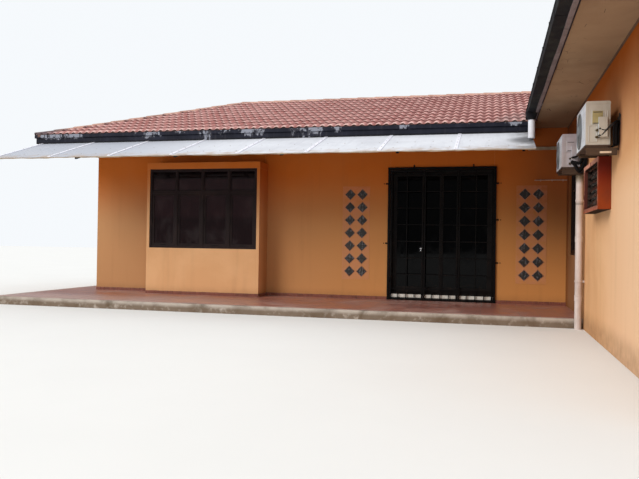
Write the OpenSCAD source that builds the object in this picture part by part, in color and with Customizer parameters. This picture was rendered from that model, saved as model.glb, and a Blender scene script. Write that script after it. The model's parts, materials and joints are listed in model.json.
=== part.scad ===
/* [Main wing] */
// Length of the front wall, from the inner corner to the left end
main_len = 9670; // [9000:10:12000]
// Depth of the main wing, outside its walls
main_depth = 4800; // [4200:10:6000]
// Thickness of the brick walls with their render
wall_t = 150; // [100:5:200]
// Height of the floors above the ground
floor_h = 150; // [100:5:200]

/* [Projecting wing] */
// Width of the projecting wing, outside its walls
wing_w = 6600; // [5600:10:8000]
// How far the wing runs in front of the front wall
wing_reach = 8400; // [7600:10:10000]

/* [Roof] */
// Pitch of every slope, in degrees
pitch = 20; // [16:0.5:25]
// Height of the tile edge over the main eave
main_eave_z = 3400; // [3350:5:3440]
// Height of the tile edge over the wing eave
wing_eave_z = 3600; // [3560:5:3700]
// Overhang of the main eaves, and of the wing's rear eave
main_over = 900; // [700:10:1000]
// Overhang of the wing's other eaves
wing_over = 630; // [500:10:700]
// Thickness of battens and tiles, measured upright
roof_t = 60; // [40:5:80]
// How far the tiles reach past the fascia
tile_lip = 30; // [15:5:50]
// Radius of the round ridge and hip tiles
cap_r = 105; // [85:5:130]
// Height of those tiles over the edge that they cover
cap_rise = 55; // [35:5:80]
// Thickness of the fascia boards
fascia_t = 25; // [15:1:40]
// Height of the main soffit
main_soffit_z = 3206; // [3150:2:3230]
// Height of the wing soffit
wing_soffit_z = 3420; // [3400:5:3470]
// Thickness of soffit and ceiling boards
board_t = 12; // [6:1:20]
// Depth of the beam between the two wings, under the wing ceiling
beam_h = 520; // [400:10:700]

/* [Rainwater] */
// Width of the box gutter
gutter_w = 170; // [110:5:180]
// Height of the box gutter
gutter_h = 120; // [90:5:140]
// Thickness of its sheet
gutter_t = 5; // [3:1:8]
// Gap from the gutter's end to the front wall
gutter_stop = 1000; // [960:10:1400]
// Diameter of the outlet that drops on the awning
outlet_d = 110; // [60:5:120]
// Distance from the outlet's axis to the front wall
outlet_out = 1650; // [1200:10:1800]
// Diameter of the waste pipe
downpipe_d = 100; // [80:5:120]
// Distance from the waste pipe's axis to the front wall
downpipe_y = 2450; // [2430:5:2480]
// Distance from the waste pipe's axis to the wing wall
downpipe_x = 85; // [75:5:95]

/* [Verandah] */
// Depth of the verandah in front of the front wall
verandah_depth = 2370; // [2000:10:2380]
// Width of the verandah beside the left end wall
verandah_side = 730; // [600:10:900]
// Width of the bare concrete kerb along its edge
kerb_w = 100; // [60:5:150]
// Step from the kerb up to the floor tiles
kerb_step = 6; // [3:1:15]

/* [Awning] */
// Height of the upper edge, on top
awning_top_z = 3200; // [3190:1:3204]
// Height of the front edge, on top
awning_low_z = 2730; // [2600:10:2800]
// Distance from the front wall to the front edge
awning_out = 2335; // [2200:5:2400]
// Distance from the inner corner to the right end
awning_right = 700; // [660:10:900]
// How far the awning runs past the left end wall
awning_past = 780; // [630:10:890]
// Width of a sheet, from strip to strip
sheet_w = 1220; // [900:10:1500]
// Distance from the inner corner to the first cover strip
first_strip = 1910; // [1600:10:1950]
// Thickness of the sheets
sheet_t = 8; // [5:1:12]
// Width of a cover strip
strip_w = 60; // [40:5:90]
// Thickness of a cover strip
strip_t = 10; // [6:1:16]
// Side of the square tubes under the sheets
tube = 45; // [30:5:60]
// Distance from the inner corner to the first rafter
first_rafter = 880; // [800:10:1000]
// Distance from rafter to rafter
rafter_step = 1950; // [1500:10:2200]

/* [Window bay] */
// Distance from the inner corner to the bay's right side
bay_right = 5780; // [5200:10:6400]
// Width of the bay
bay_w = 2440; // [2100:10:2700]
// How far the bay stands out of the front wall
bay_out = 500; // [400:10:650]
// Thickness of the bay's side walls
bay_side_t = 60; // [50:5:100]
// Height of the bay window's sill
bay_sill_z = 1084; // [900:2:1300]
// Height of the bay window's head
bay_head_z = 2690; // [2600:5:2750]
// Thickness of the slab over the bay
bay_slab_t = 130; // [100:5:150]

/* [Windows] */
// Width of a plain window
window_w = 1200; // [1000:10:1400]
// Height of the plain windows' sill
window_sill_z = 1085; // [900:5:1300]
// Height of the plain windows' head
window_head_z = 2690; // [2500:5:2750]
// Distance from the inner corner to the court window
court_window_y = 310; // [250:10:500]
// Width of the window frames' face
frame_w = 45; // [35:1:60]
// Depth of the window frames
frame_d = 80; // [60:1:90]
// Face width of a sash
sash_w = 40; // [30:1:50]
// Thickness of a sash
sash_t = 32; // [25:1:40]
// Thickness of the glass
glass_t = 5; // [4:1:8]
// Height of the fixed top lights in the bay window
top_light_h = 400; // [300:10:500]

/* [Louvre window] */
// Distance from the front wall to the surround
box_y = 3450; // [3300:10:3800]
// Width of the surround
box_w = 1230; // [1000:10:1400]
// Height of the surround's underside
box_z = 1670; // [1500:10:1750]
// Height of the surround
box_h = 620; // [500:10:660]
// How far the surround stands out of the wall
box_out = 150; // [100:5:200]
// Thickness of the surround
box_t = 50; // [40:5:70]
// Number of louvre blades
blade_count = 5; // [3:1:7]

/* [Door] */
// Distance from the inner corner to the doorway
door_right = 1300; // [1200:10:1500]
// Width of the doorway
door_w = 1965; // [1800:5:2000]
// Height of the doorway's head
door_head_z = 2680; // [2500:5:2740]
// Top of the white threshold
sill_z = 263; // [220:1:300]
// Face width of the door frame
door_frame_w = 50; // [40:1:70]
// Face width of a door leaf's stiles and top rail
stile_w = 60; // [50:1:90]
// Height of a door leaf's bottom rail
kick_h = 110; // [80:5:160]
// Thickness of a door leaf
leaf_t = 30; // [25:1:36]
// Gap between the two door leaves
leaf_gap = 15; // [10:1:20]
// Running clearance round the sliding leaf
run_gap = 5; // [5:1:8]

/* [Grille] */
// Face width of the grille's outer frame
grille_w = 40; // [30:1:50]
// How far the outer frame laps over the wall
grille_lap = 40; // [38:1:50]
// Depth of the outer frame
grille_d = 40; // [38:1:50]
// Thickness of the grille leaves
grille_leaf_t = 30; // [24:1:30]
// Clearance round the leaves
grille_gap = 10; // [8:1:14]
// Gap between the floor and the leaves
grille_foot = 12; // [8:1:20]
// Height of the lowest panel of upright bars
grille_base_h = 200; // [150:5:260]
// Distance from bar to bar above it
grille_pitch = 320; // [280:5:360]
// Thickness of the bars
bar_t = 16; // [12:1:20]
// Radius of the hinge barrels
barrel_r = 7; // [6:0.5:8]

/* [Wall tiles] */
// Side of a square tile that stands on its corner
tile_side = 165; // [120:5:170]
// Thickness of the tile
tile_t = 8; // [5:1:12]
// Distance from tile to tile along a row
tile_step_x = 243; // [241:1:260]
// Distance from tile to tile up a column
tile_step_z = 252; // [242:1:270]
// Tiles in a column
tile_rows = 7; // [4:1:8]
// Height of the lowest tile's centre
tile_low_z = 685; // [600:5:800]
// Distance from the inner corner to the left group's centre
tiles_left_x = 3937; // [3800:1:4200]
// Distance from the inner corner to the right group's centre
tiles_right_x = 625; // [500:1:700]

/* [Outdoor units] */
// Length of an outdoor unit
unit_l = 780; // [700:10:850]
// Depth of an outdoor unit
unit_d = 255; // [230:5:280]
// Height of an outdoor unit
unit_h = 520; // [480:10:560]
// Gap between a unit and the wall
unit_back = 95; // [80:5:120]
// Distance from the front wall to the far unit
far_unit_y = 1790; // [1700:10:1850]
// Height of the far unit's underside
far_unit_z = 2390; // [2320:5:2450]
// Distance from the front wall to the near unit
near_unit_y = 4380; // [4250:10:4700]
// Height of the near unit's underside
near_unit_z = 2340; // [2330:5:2450]
// Radius of the fan opening
fan_r = 200; // [160:5:220]
// Width of the bracket angles
angle_w = 30; // [25:1:30]
// Thickness of the bracket angles
angle_t = 5; // [4:1:8]
// Height of the feet under an outdoor unit
foot_h = 15; // [10:1:15]
// Diameter of the lagged pipes
lagging_d = 34; // [26:2:44]

/* [Hidden] */
$fn = 48;

wall_colour = [0.80, 0.52, 0.28];
timber_colour = [0.16, 0.10, 0.10];
slope = tan(pitch);
tall = 9000;
seat = 0.3;

// House plan: x runs along the front wall, y into the house, both from the inner corner
left_x = -main_len;
awning_left = main_len + awning_past;
room_l = left_x + wall_t;
rear_in = main_depth - wall_t;
wing_in_x = wing_w - wall_t;
wing_y = -wing_reach;
wing_in_y = wing_y + wall_t;

// Roof plan
main_x0 = left_x - main_over;
main_y0 = -main_over;
main_y1 = main_depth + main_over;
main_mid = main_depth / 2;
wing_x0 = -wing_over;
wing_x1 = wing_w + wing_over;
wing_y0 = wing_y - wing_over;
wing_mid = wing_w / 2;
join_x = wing_x0 - tile_lip;
valley = (wing_eave_z - main_eave_z) / slope + main_y0 - wing_x0;
ridge_z = main_eave_z + (main_mid - main_y0) * slope;
wing_ridge_z = wing_eave_z + (wing_mid - wing_x0) * slope;

// Bay and doorway
bay_x1 = -bay_right;
bay_x0 = bay_x1 - bay_w;
bay_in0 = bay_x0 + bay_side_t;
bay_in1 = bay_x1 - bay_side_t;
door_x1 = -door_right;
door_x0 = door_x1 - door_w;

// Sliding door
leaf_bottom = sill_z + door_frame_w / 2 + run_gap;
fixed_y = 40;
slide_y = fixed_y + leaf_t + leaf_gap;
frame_in0 = door_x0 + door_frame_w;
frame_in1 = door_x1 - door_frame_w;
frame_top = door_head_z - door_frame_w;
frame_low = sill_z + door_frame_w / 2;
leaf_w = (frame_in1 - frame_in0 + stile_w) / 2;

// Grille
grille_x0 = door_x0 - grille_lap;
grille_x1 = door_x1 + grille_lap;
grille_top = door_head_z + grille_lap;
grille_in0 = grille_x0 + grille_w;
grille_in1 = grille_x1 - grille_w;
third = (grille_in1 - grille_in0 - 4 * grille_gap) / 3;
leaf_x = [for (i = [0:2]) grille_in0 + grille_gap + i * (third + grille_gap)];
leaf_low = floor_h + grille_foot;
leaf_high = grille_top - grille_w - grille_gap;
leaf_y = -(grille_d + grille_leaf_t) / 2;
hinge_x = grille_in0 + grille_gap / 2;
hinge_y = -grille_d - barrel_r - 5;
hinge_z = [floor_h + 350, floor_h + 1250, floor_h + 2150];
barrel_h = 45;
strap_t = 6;
lug_t = 6;
lug_w = 30;
lug_out = 50;
left_lugs = [1230, 2390];
right_lugs = [890, 1700, 2390];
head_lugs = [door_x0 + 445, door_x1 - 400];

function main_z(y) = main_eave_z + (y - main_y0) * slope;
function awning_z(y) = awning_top_z + (y - main_y0) * awning_fall;
awning_fall = (awning_top_z - awning_low_z) / (awning_out - main_over);

module along_x(x0, x1) translate([x0, 0, 0]) rotate([90, 0, 90]) linear_extrude(x1 - x0) children();
module along_y(y0, y1) translate([0, y1, 0]) rotate([90, 0, 0]) linear_extrude(y1 - y0) children();
module block(a, b) translate(a) cube(b - a);
module plate(a, b, z, t) translate([a[0], a[1], z]) cube([b[0] - a[0], b[1] - a[1], t]);

// Round bar from p to q
module rod(p, q, r) {
    d = q - p;
    translate(p) rotate([0, acos(d[2] / norm(d)), atan2(d[1], d[0])]) cylinder(r = r, h = norm(d));
}

// Everything under the main roof's surface, lowered by drop
module under_main(drop) {
    lip = tile_lip;
    edge = main_eave_z - lip * slope - drop;
    intersection() {
        along_x(main_x0 - lip, wing_mid)
            polygon([[main_y0 - lip, 0], [main_y0 - lip, edge], [main_mid, ridge_z - drop],
                     [main_y1 + lip, edge], [main_y1 + lip, 0]]);
        along_y(main_y0 - lip, main_y1 + lip)
            polygon([[main_x0 - lip, 0], [main_x0 - lip, edge],
                     [main_x0 + main_mid - main_y0, ridge_z - drop],
                     [main_x0 + tall / slope, main_eave_z + tall - drop],
                     [wing_mid, main_eave_z + tall - drop],
                     [wing_mid, 0]]);
    }
}

// Everything under the wing roof's surface, lowered by drop
module under_wing(drop) {
    lip = tile_lip;
    edge = wing_eave_z - lip * slope - drop;
    run = wing_mid - wing_x0;
    intersection() {
        along_y(wing_y0 - lip, main_y1 + lip)
            polygon([[wing_x0 - lip, 0], [wing_x0 - lip, edge], [wing_mid, wing_ridge_z - drop],
                     [wing_x1 + lip, edge], [wing_x1 + lip, 0]]);
        along_x(wing_x0 - lip, wing_x1 + lip)
            polygon([[wing_y0 - lip, 0], [wing_y0 - lip, edge], [wing_y0 + run, wing_ridge_z - drop],
                     [main_y1 - run, wing_ridge_z - drop], [main_y1 + lip, edge], [main_y1 + lip, 0]]);
    }
}

// Plan of the main roof: it runs over the wing as a triangle between the two valleys
module main_roof_plan() {
    far = main_y1 + tile_lip;
    near = main_y0 - tile_lip;
    polygon([[main_x0 - tile_lip, near], [join_x, near], [join_x, join_x + valley],
             [main_mid - valley, main_mid], [join_x, main_depth - join_x - valley], [join_x, far],
             [main_x0 - tile_lip, far]]);
}

module main_roof() {
    color([0.67, 0.40, 0.38]) intersection() {
        difference() {
            under_main(0);
            under_main(roof_t);
        }
        linear_extrude(tall) main_roof_plan();
    }
}

module wing_roof() {
    color([0.67, 0.40, 0.38]) difference() {
        under_wing(0);
        under_wing(roof_t);
        translate([0, 0, -1]) linear_extrude(tall) main_roof_plan();
    }
}

// Half-round tiles along every ridge and hip, cut to sit on the slopes
module cap_bar(p, q) rod(p + [0, 0, cap_rise - cap_r], q + [0, 0, cap_rise - cap_r], cap_r, $fn = 12);
module ridge_caps() {
    main_end = [main_x0 + main_mid - main_y0, main_mid, ridge_z];
    run = wing_mid - wing_x0;
    front_end = [wing_mid, wing_y0 + run, wing_ridge_z];
    rear_end = [wing_mid, main_y1 - run, wing_ridge_z];
    lip = tile_lip;
    color([0.62, 0.36, 0.34]) {
        difference() {
            intersection() {
                union() {
                    cap_bar(main_end, [main_mid - valley + cap_r, main_mid, ridge_z]);
                    for (y = [main_y0, main_y1]) cap_bar([main_x0, y, main_eave_z], main_end);
                }
                block([main_x0 - lip, main_y0 - lip, 0], [wing_mid, main_y1 + lip, tall]);
            }
            under_main(0);
            under_wing(0);
        }
        difference() {
            intersection() {
                union() {
                    cap_bar(front_end, rear_end);
                    for (x = [wing_x0, wing_x1]) {
                        cap_bar([x, wing_y0, wing_eave_z], front_end);
                        cap_bar([x, main_y1, wing_eave_z], rear_end);
                    }
                }
                block([wing_x0 - lip, wing_y0 - lip, 0], [wing_x1 + lip, main_y1 + lip, tall]);
            }
            under_wing(0);
        }
    }
}

module main_wall(x0, x1, y0, y1, z0) {
    color(wall_colour) intersection() {
        block([x0, y0, z0], [x1, y1, tall]);
        under_main(roof_t);
    }
}

module front_wall_left() main_wall(left_x, bay_in0, 0, wall_t, 0);
module front_wall_over_bay() main_wall(bay_in0, bay_in1, 0, wall_t, bay_head_z);
module front_wall_middle() main_wall(bay_in1, door_x0, 0, wall_t, 0);
module front_wall_over_door() main_wall(door_x0, door_x1, 0, wall_t, door_head_z);
module front_wall_right() main_wall(door_x1, 0, 0, wall_t, 0);

// Plain windows: [centre or start along the wall]
rear_windows = [for (i = [0:2]) left_x + main_len * (i + 0.5) / 3];
end_windows = [main_mid];
outer_windows = [for (i = [0:3]) wing_y + (wing_reach + main_depth) * (i + 0.5) / 4];
front_windows = [for (i = [0:1]) wing_w * (i + 0.5) / 2];
court_windows = [-court_window_y - window_w / 2];

// Places a window drawn along x in the plane of the wall's outer face, with y into the wall
module on_rear(x) translate([x, main_depth, 0]) rotate([0, 0, 180]) children();
module on_end(y) translate([left_x, y, 0]) rotate([0, 0, -90]) children();
module on_outer(y) translate([wing_w, y, 0]) rotate([0, 0, 90]) children();
module on_front(x) translate([x, wing_y, 0]) children();
module on_court(y) translate([0, y, 0]) rotate([0, 0, -90]) children();
module each_main_window() {
    for (x = rear_windows) on_rear(x) children();
    for (y = end_windows) on_end(y) children();
}
module each_wing_window() {
    on_rear(wing_mid) children();
    for (y = outer_windows) on_outer(y) children();
    for (x = front_windows) on_front(x) children();
    for (y = court_windows) on_court(y) children();
}
module window_hole() block([-window_w / 2, -10, window_sill_z], [window_w / 2, wall_t + 10, window_head_z]);

module main_outer_wall(x0, x1, y0, y1) {
    difference() {
        main_wall(x0, x1, y0, y1, 0);
        each_main_window() color(wall_colour) window_hole();
    }
}
module left_end_wall() main_outer_wall(left_x, room_l, wall_t, rear_in);
module main_rear_wall() main_outer_wall(left_x, 0, rear_in, main_depth);

module wing_wall(x0, x1, y0, y1) {
    color(wall_colour) difference() {
        intersection() {
            block([x0, y0, 0], [x1, y1, tall]);
            under_wing(roof_t);
        }
        each_wing_window() window_hole();
    }
}
module wing_front_wall() wing_wall(wall_t, wing_w, wing_y, wing_in_y);
module wing_outer_wall() wing_wall(wing_in_x, wing_w, wing_in_y, rear_in);
module wing_rear_wall() wing_wall(0, wing_w, rear_in, main_depth);
module wing_court_wall() {
    color(wall_colour) difference() {
        wing_wall(0, wall_t, wing_y, wall_t);
        block([-10, -box_y - box_w + box_t, box_z + box_t],
              [wall_t + 10, -box_y - box_t, box_z + box_h - box_t]);
        for (p = pipe_holes)
            translate(p) rotate([0, 90, 0]) cylinder(d = pipe_hole_d, h = wall_t + 10);
    }
}

module main_floor_slab() {
    color([0.62, 0.60, 0.57]) linear_extrude(floor_h) union() {
        translate([room_l, wall_t]) square([wall_t - room_l, rear_in - wall_t]);
        translate([bay_in0, wall_t - bay_out]) square([bay_in1 - bay_in0, bay_out + 1]);
        translate([door_x0, 0]) square([door_w, wall_t + 1]);
    }
}
module wing_floor_slab() {
    color([0.62, 0.60, 0.57]) block([wall_t, wing_in_y, 0], [wing_in_x, rear_in, floor_h]);
}

module verandah_floor() {
    x0 = left_x - verandah_side + kerb_w;
    color([0.55, 0.33, 0.27]) linear_extrude(floor_h) difference() {
        translate([x0, kerb_w - verandah_depth]) square([-x0, verandah_depth - kerb_w + main_depth]);
        translate([left_x, 0]) square([main_len + 1, main_depth + 1]);
        translate([bay_x0, -bay_out]) square([bay_w, bay_out + 1]);
    }
}
module verandah_kerb() {
    x0 = left_x - verandah_side;
    color([0.66, 0.64, 0.60]) linear_extrude(floor_h - kerb_step) difference() {
        translate([x0, -verandah_depth]) square([-x0, verandah_depth + main_depth]);
        translate([x0 + kerb_w, kerb_w - verandah_depth]) square([-x0, verandah_depth + main_depth]);
    }
}

module bay_sill_wall() {
    color(wall_colour) block([bay_in0, -bay_out, 0], [bay_in1, wall_t - bay_out, bay_sill_z]);
}
module bay_side_walls() {
    color(wall_colour) for (x = [bay_x0, bay_in1])
        block([x, -bay_out, 0], [x + bay_side_t, 0, bay_head_z]);
}
module bay_top_slab() {
    color(wall_colour) block([bay_x0, -bay_out, bay_head_z], [bay_x1, 0, bay_head_z + bay_slab_t]);
}

// Inside
module ceiling_beam() {
    color([0.86, 0.84, 0.78])
        block([0, wall_t, wing_soffit_z - beam_h], [wall_t, rear_in, wing_soffit_z + board_t]);
}
module ceilings() {
    color([0.86, 0.84, 0.78]) {
        plate([room_l, wall_t], [0, rear_in], main_soffit_z, board_t);
        plate([wall_t, wing_in_y], [wing_in_x, rear_in], wing_soffit_z, board_t);
    }
}

// Eaves
module main_soffit() {
    x0 = main_x0 + fascia_t;
    y0 = main_y0 + fascia_t;
    y1 = main_y1 - fascia_t;
    color([0.63, 0.55, 0.45]) union() {
        translate([0, 0, main_soffit_z]) linear_extrude(board_t) difference() {
            translate([x0, y0]) square([wing_x0 - x0, y1 - y0]);
            translate([left_x, 0]) square([main_len, main_depth]);
        }
        intersection() {
            for (y = [[y0, 0], [main_depth, y1]])
                block([wing_x0 - board_t, y[0], main_soffit_z], [wing_x0, y[1], tall]);
            under_main(roof_t);
        }
    }
}
module main_fascia() {
    color([0.17, 0.19, 0.23]) intersection() {
        translate([0, 0, main_soffit_z]) linear_extrude(main_eave_z) difference() {
            translate([main_x0, main_y0]) square([wing_x0 - main_x0, main_y1 - main_y0]);
            translate([main_x0 + fascia_t, main_y0 + fascia_t])
                square([wing_x0 - main_x0, main_y1 - main_y0 - 2 * fascia_t]);
        }
        under_main(roof_t);
    }
}
module wing_soffit() {
    x0 = wing_x0 + fascia_t;
    y0 = wing_y0 + fascia_t;
    color([0.63, 0.55, 0.45]) translate([0, 0, wing_soffit_z]) linear_extrude(board_t) difference() {
        translate([x0, y0]) square([wing_x1 - fascia_t - x0, main_y1 - fascia_t - y0]);
        translate([0, wing_y]) square([wing_w, wing_reach + main_depth]);
        translate([x0 - 1, 0]) square([2 - x0, main_depth]);
    }
}
module wing_fascia() {
    color([0.17, 0.19, 0.23]) intersection() {
        translate([0, 0, wing_soffit_z]) linear_extrude(wing_eave_z) difference() {
            translate([wing_x0, wing_y0]) square([wing_x1 - wing_x0, main_y1 - wing_y0]);
            translate([wing_x0 + fascia_t, wing_y0 + fascia_t])
                square([wing_x1 - wing_x0 - 2 * fascia_t, main_y1 - wing_y0 - 2 * fascia_t]);
            translate([wing_x0 - 1, 0]) square([fascia_t + 2, main_depth]);
        }
        under_wing(roof_t);
    }
}

// Box gutter along the court eave, with its outlet over the awning
gutter_top = wing_eave_z - roof_t - tile_lip * slope - 10;
outlet_x = wing_x0 - gutter_w + outlet_d / 2 + 10;
outlet_y = -outlet_out;
module wing_gutter() {
    x0 = wing_x0 - gutter_w;
    color([0.15, 0.16, 0.18]) difference() {
        block([x0, wing_y0, gutter_top - gutter_h], [wing_x0, -gutter_stop, gutter_top]);
        block([x0 + gutter_t, wing_y0 + gutter_t, gutter_top - gutter_h + gutter_t],
              [wing_x0 - gutter_t, -gutter_stop - gutter_t, gutter_top + 1]);
    }
}
module gutter_outlet() {
    collar = 20;
    high = gutter_top - gutter_h;
    low = awning_z(outlet_y + outlet_d / 2) + 12;
    color("white") difference() {
        union() {
            translate([outlet_x, outlet_y, low]) cylinder(d = outlet_d, h = high - low);
            translate([outlet_x, outlet_y, high - collar]) cylinder(d = outlet_d + 10, h = collar);
        }
        translate([outlet_x, outlet_y, low - 1]) cylinder(d = outlet_d - 8, h = high - low + 2);
    }
}

// Waste pipe on the wing wall: it turns into the wall under the far outdoor unit
module downpipe() {
    clips = [700, 1900];
    r = downpipe_d / 2;
    turn_z = far_unit_z - 12 - r;
    color("white") union() {
        translate([-downpipe_x, -downpipe_y, 0]) cylinder(r = r, h = turn_z);
        translate([-downpipe_x, -downpipe_y, turn_z]) sphere(r);
        rod([-downpipe_x, -downpipe_y, turn_z], [0, -downpipe_y, turn_z], r);
        rod([-15, -downpipe_y, turn_z], [0, -downpipe_y, turn_z], r + 12);
        for (z = clips) {
            translate([-downpipe_x, -downpipe_y, z]) cylinder(r = r + 6, h = 30);
            block([-downpipe_x, -downpipe_y - 15, z], [0, 15 - downpipe_y, z + 30]);
        }
    }
}

// Awning: sheets, cover strips over their joints and a steel frame under them
strips = [for (x = [first_strip:sheet_w:awning_left - sheet_w / 3]) x];
last_rafter = awning_left - tube;
rafters = concat([for (x = [first_rafter:rafter_step:awning_left - rafter_step / 3]) x], [last_rafter]);
module awning_layer(x0, x1, y0, y1, z0, z1) {
    along_x(x0, x1) polygon([[y0, awning_z(y0) + z0], [y1, awning_z(y1) + z0],
                             [y1, awning_z(y1) + z1], [y0, awning_z(y0) + z1]]);
}
module awning_sheets() {
    color([0.87, 0.88, 0.89]) awning_layer(-awning_left, -awning_right, -awning_out, main_y0, -sheet_t, 0);
}
module awning_strips() {
    color([0.80, 0.81, 0.83]) for (x = concat(strips, [awning_left - strip_w / 2]))
        awning_layer(-x - strip_w / 2, strip_w / 2 - x, -awning_out, main_y0, 0, strip_t);
}
module awning_frame() {
    back = main_y0 + fascia_t;
    low = -sheet_t - tube;
    purlins = [230 - awning_out, -(awning_out + main_over) / 2];
    color([0.12, 0.12, 0.13]) intersection() {
        union() {
            for (x = rafters)
                awning_layer(-x - tube / 2, tube / 2 - x, 20 - awning_out, back, low, -sheet_t);
            for (y = purlins) awning_layer(-last_rafter, -first_rafter, y, y + tube, low, -sheet_t);
            awning_layer(-last_rafter, -first_rafter, back - tube, back, low, 60);
        }
        block([-awning_left, -awning_out, 0], [0, 0, main_soffit_z]);
        difference() {
            block([-awning_left, -awning_out, 0], [0, 0, tall]);
            awning_layer(-awning_left - 1, 1, -awning_out - 1, main_y0, -sheet_t, 200);
        }
    }
}

// Doorway
module door_sill() color("white") block([door_x0, 15, floor_h], [door_x1, wall_t - 15, sill_z]);
module door_frame() {
    color(timber_colour) difference() {
        block([door_x0, fixed_y - 15, sill_z], [door_x1, slide_y + leaf_t + 5, door_head_z]);
        block([frame_in0, 0, frame_low], [frame_in1, wall_t, frame_top]);
    }
}
module leaf_frame(x0, y0, z0, z1) {
    difference() {
        block([x0, y0, z0], [x0 + leaf_w, y0 + leaf_t, z1]);
        block([x0 + stile_w, y0 - 1, z0 + kick_h], [x0 + leaf_w - stile_w, y0 + leaf_t + 1, z1 - stile_w]);
    }
}
module leaf_pane(x0, y0, z0, z1) {
    y = y0 + (leaf_t - glass_t) / 2;
    block([x0 + stile_w, y, z0 + kick_h], [x0 + leaf_w - stile_w, y + glass_t, z1 - stile_w]);
}
fixed_x = frame_in1 - leaf_w;
slide_x = frame_in0 + run_gap;
module fixed_leaf() color(timber_colour) leaf_frame(fixed_x, fixed_y, frame_low, frame_top);
module fixed_glass() color([0.2, 0.2, 0.22, 0.6]) leaf_pane(fixed_x, fixed_y, frame_low, frame_top);
module sliding_leaf() {
    wheel_r = 14;
    color(timber_colour) union() {
        leaf_frame(slide_x, slide_y, leaf_bottom, frame_top - run_gap);
        for (x = [slide_x + 100, slide_x + leaf_w - 100])
            translate([x, slide_y + leaf_t / 2 + 5, frame_low + seat + wheel_r])
                rotate([90, 0, 0]) cylinder(r = wheel_r, h = 10);
    }
}
module sliding_glass() {
    color([0.2, 0.2, 0.22, 0.6]) leaf_pane(slide_x, slide_y, leaf_bottom, frame_top - run_gap);
}

// Security grille on the face of the wall
module grille_left_post() {
    strap_x = hinge_x - 25;
    color([0.10, 0.10, 0.11]) union() {
        block([grille_x0, -grille_d, floor_h], [grille_in0, 0, grille_top]);
        for (z = left_lugs) block([grille_x0 - lug_out, -lug_t, z], [grille_x0 + 1, 0, z + lug_w]);
        for (z = hinge_z) {
            translate([hinge_x, hinge_y, z]) cylinder(r = barrel_r, h = barrel_h);
            block([strap_x, hinge_y - strap_t / 2, z], [hinge_x, hinge_y + strap_t / 2, z + barrel_h]);
            block([strap_x, hinge_y - strap_t / 2, z], [strap_x + 10, 1 - grille_d, z + barrel_h]);
        }
    }
}
module grille_right_post() {
    color([0.10, 0.10, 0.11]) union() {
        block([grille_in1, -grille_d, floor_h], [grille_x1, 0, grille_top]);
        for (z = right_lugs) block([grille_x1 - 1, -lug_t, z], [grille_x1 + lug_out, 0, z + lug_w]);
    }
}
module grille_head() {
    color([0.10, 0.10, 0.11]) union() {
        block([grille_in0, -grille_d, grille_top - grille_w], [grille_in1, 0, grille_top]);
        for (x = head_lugs) block([x, -lug_t, grille_top - 1], [x + lug_w, 0, grille_top + lug_out]);
    }
}
module grille_panel(x) {
    bar = bar_t;
    edge = grille_leaf_t;
    y0 = leaf_y;
    y1 = leaf_y + grille_leaf_t;
    ym = (y0 + y1 - bar) / 2;
    base = leaf_low + grille_base_h;
    first = base + 0.875 * grille_pitch;
    union() {
        difference() {
            block([x, y0, leaf_low], [x + third, y1, leaf_high]);
            block([x + edge, y0 - 1, leaf_low + bar], [x + third - edge, y1 + 1, leaf_high - edge]);
        }
        for (z = concat([base], [for (z = [first:grille_pitch:leaf_high - edge - 60]) z]))
            block([x + edge - 1, ym, z], [x + third - edge + 1, ym + bar, z + bar]);
        for (i = [1:3])
            block([x + third * i / 4 - bar / 2, ym, leaf_low + 1],
                  [x + third * i / 4 + bar / 2, ym + bar, i == 2 ? leaf_high - 1 : base + 1]);
    }
}
module grille_pass_leaf() {
    lock_x = leaf_x[0] + third - 75;
    lock_z = 1080;
    strap_x = leaf_x[0] + 8;
    color([0.10, 0.10, 0.11]) union() {
        grille_panel(leaf_x[0]);
        for (z = hinge_z) {
            translate([hinge_x, hinge_y, z + barrel_h + seat]) cylinder(r = barrel_r, h = barrel_h);
            block([hinge_x, hinge_y - strap_t / 2, z + barrel_h + seat],
                  [strap_x + 12, hinge_y + strap_t / 2, z + 2 * barrel_h]);
            block([strap_x, hinge_y - strap_t / 2, z + barrel_h + seat],
                  [strap_x + 12, leaf_y + 1, z + 2 * barrel_h]);
        }
        block([lock_x, leaf_y - 18, lock_z], [lock_x + 73, leaf_y + 1, lock_z + 110]);
    }
}
module grille_folding_leaves() {
    gap = grille_gap;
    color([0.10, 0.10, 0.11]) union() {
        grille_panel(leaf_x[1]);
        grille_panel(leaf_x[2]);
        for (z = hinge_z) for (x = [leaf_x[2] - gap / 2, grille_in1 - gap / 2])
            block([x - gap / 2 - 1, leaf_y + 5, z],
                  [x + gap / 2 + (x > leaf_x[2] ? 0 : 1), leaf_y + 25, z + 2 * barrel_h]);
    }
}

module wall_tiles() {
    columns = [for (x = [-tiles_left_x, -tiles_right_x], side = [-0.5, 0.5]) x + side * tile_step_x];
    color([0.33, 0.36, 0.35]) for (x = columns, i = [0:tile_rows - 1])
        translate([x, 0, tile_low_z + i * tile_step_z]) rotate([90, 45, 0])
            translate([-tile_side / 2, -tile_side / 2, 0]) cube([tile_side, tile_side, tile_t]);
}

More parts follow.
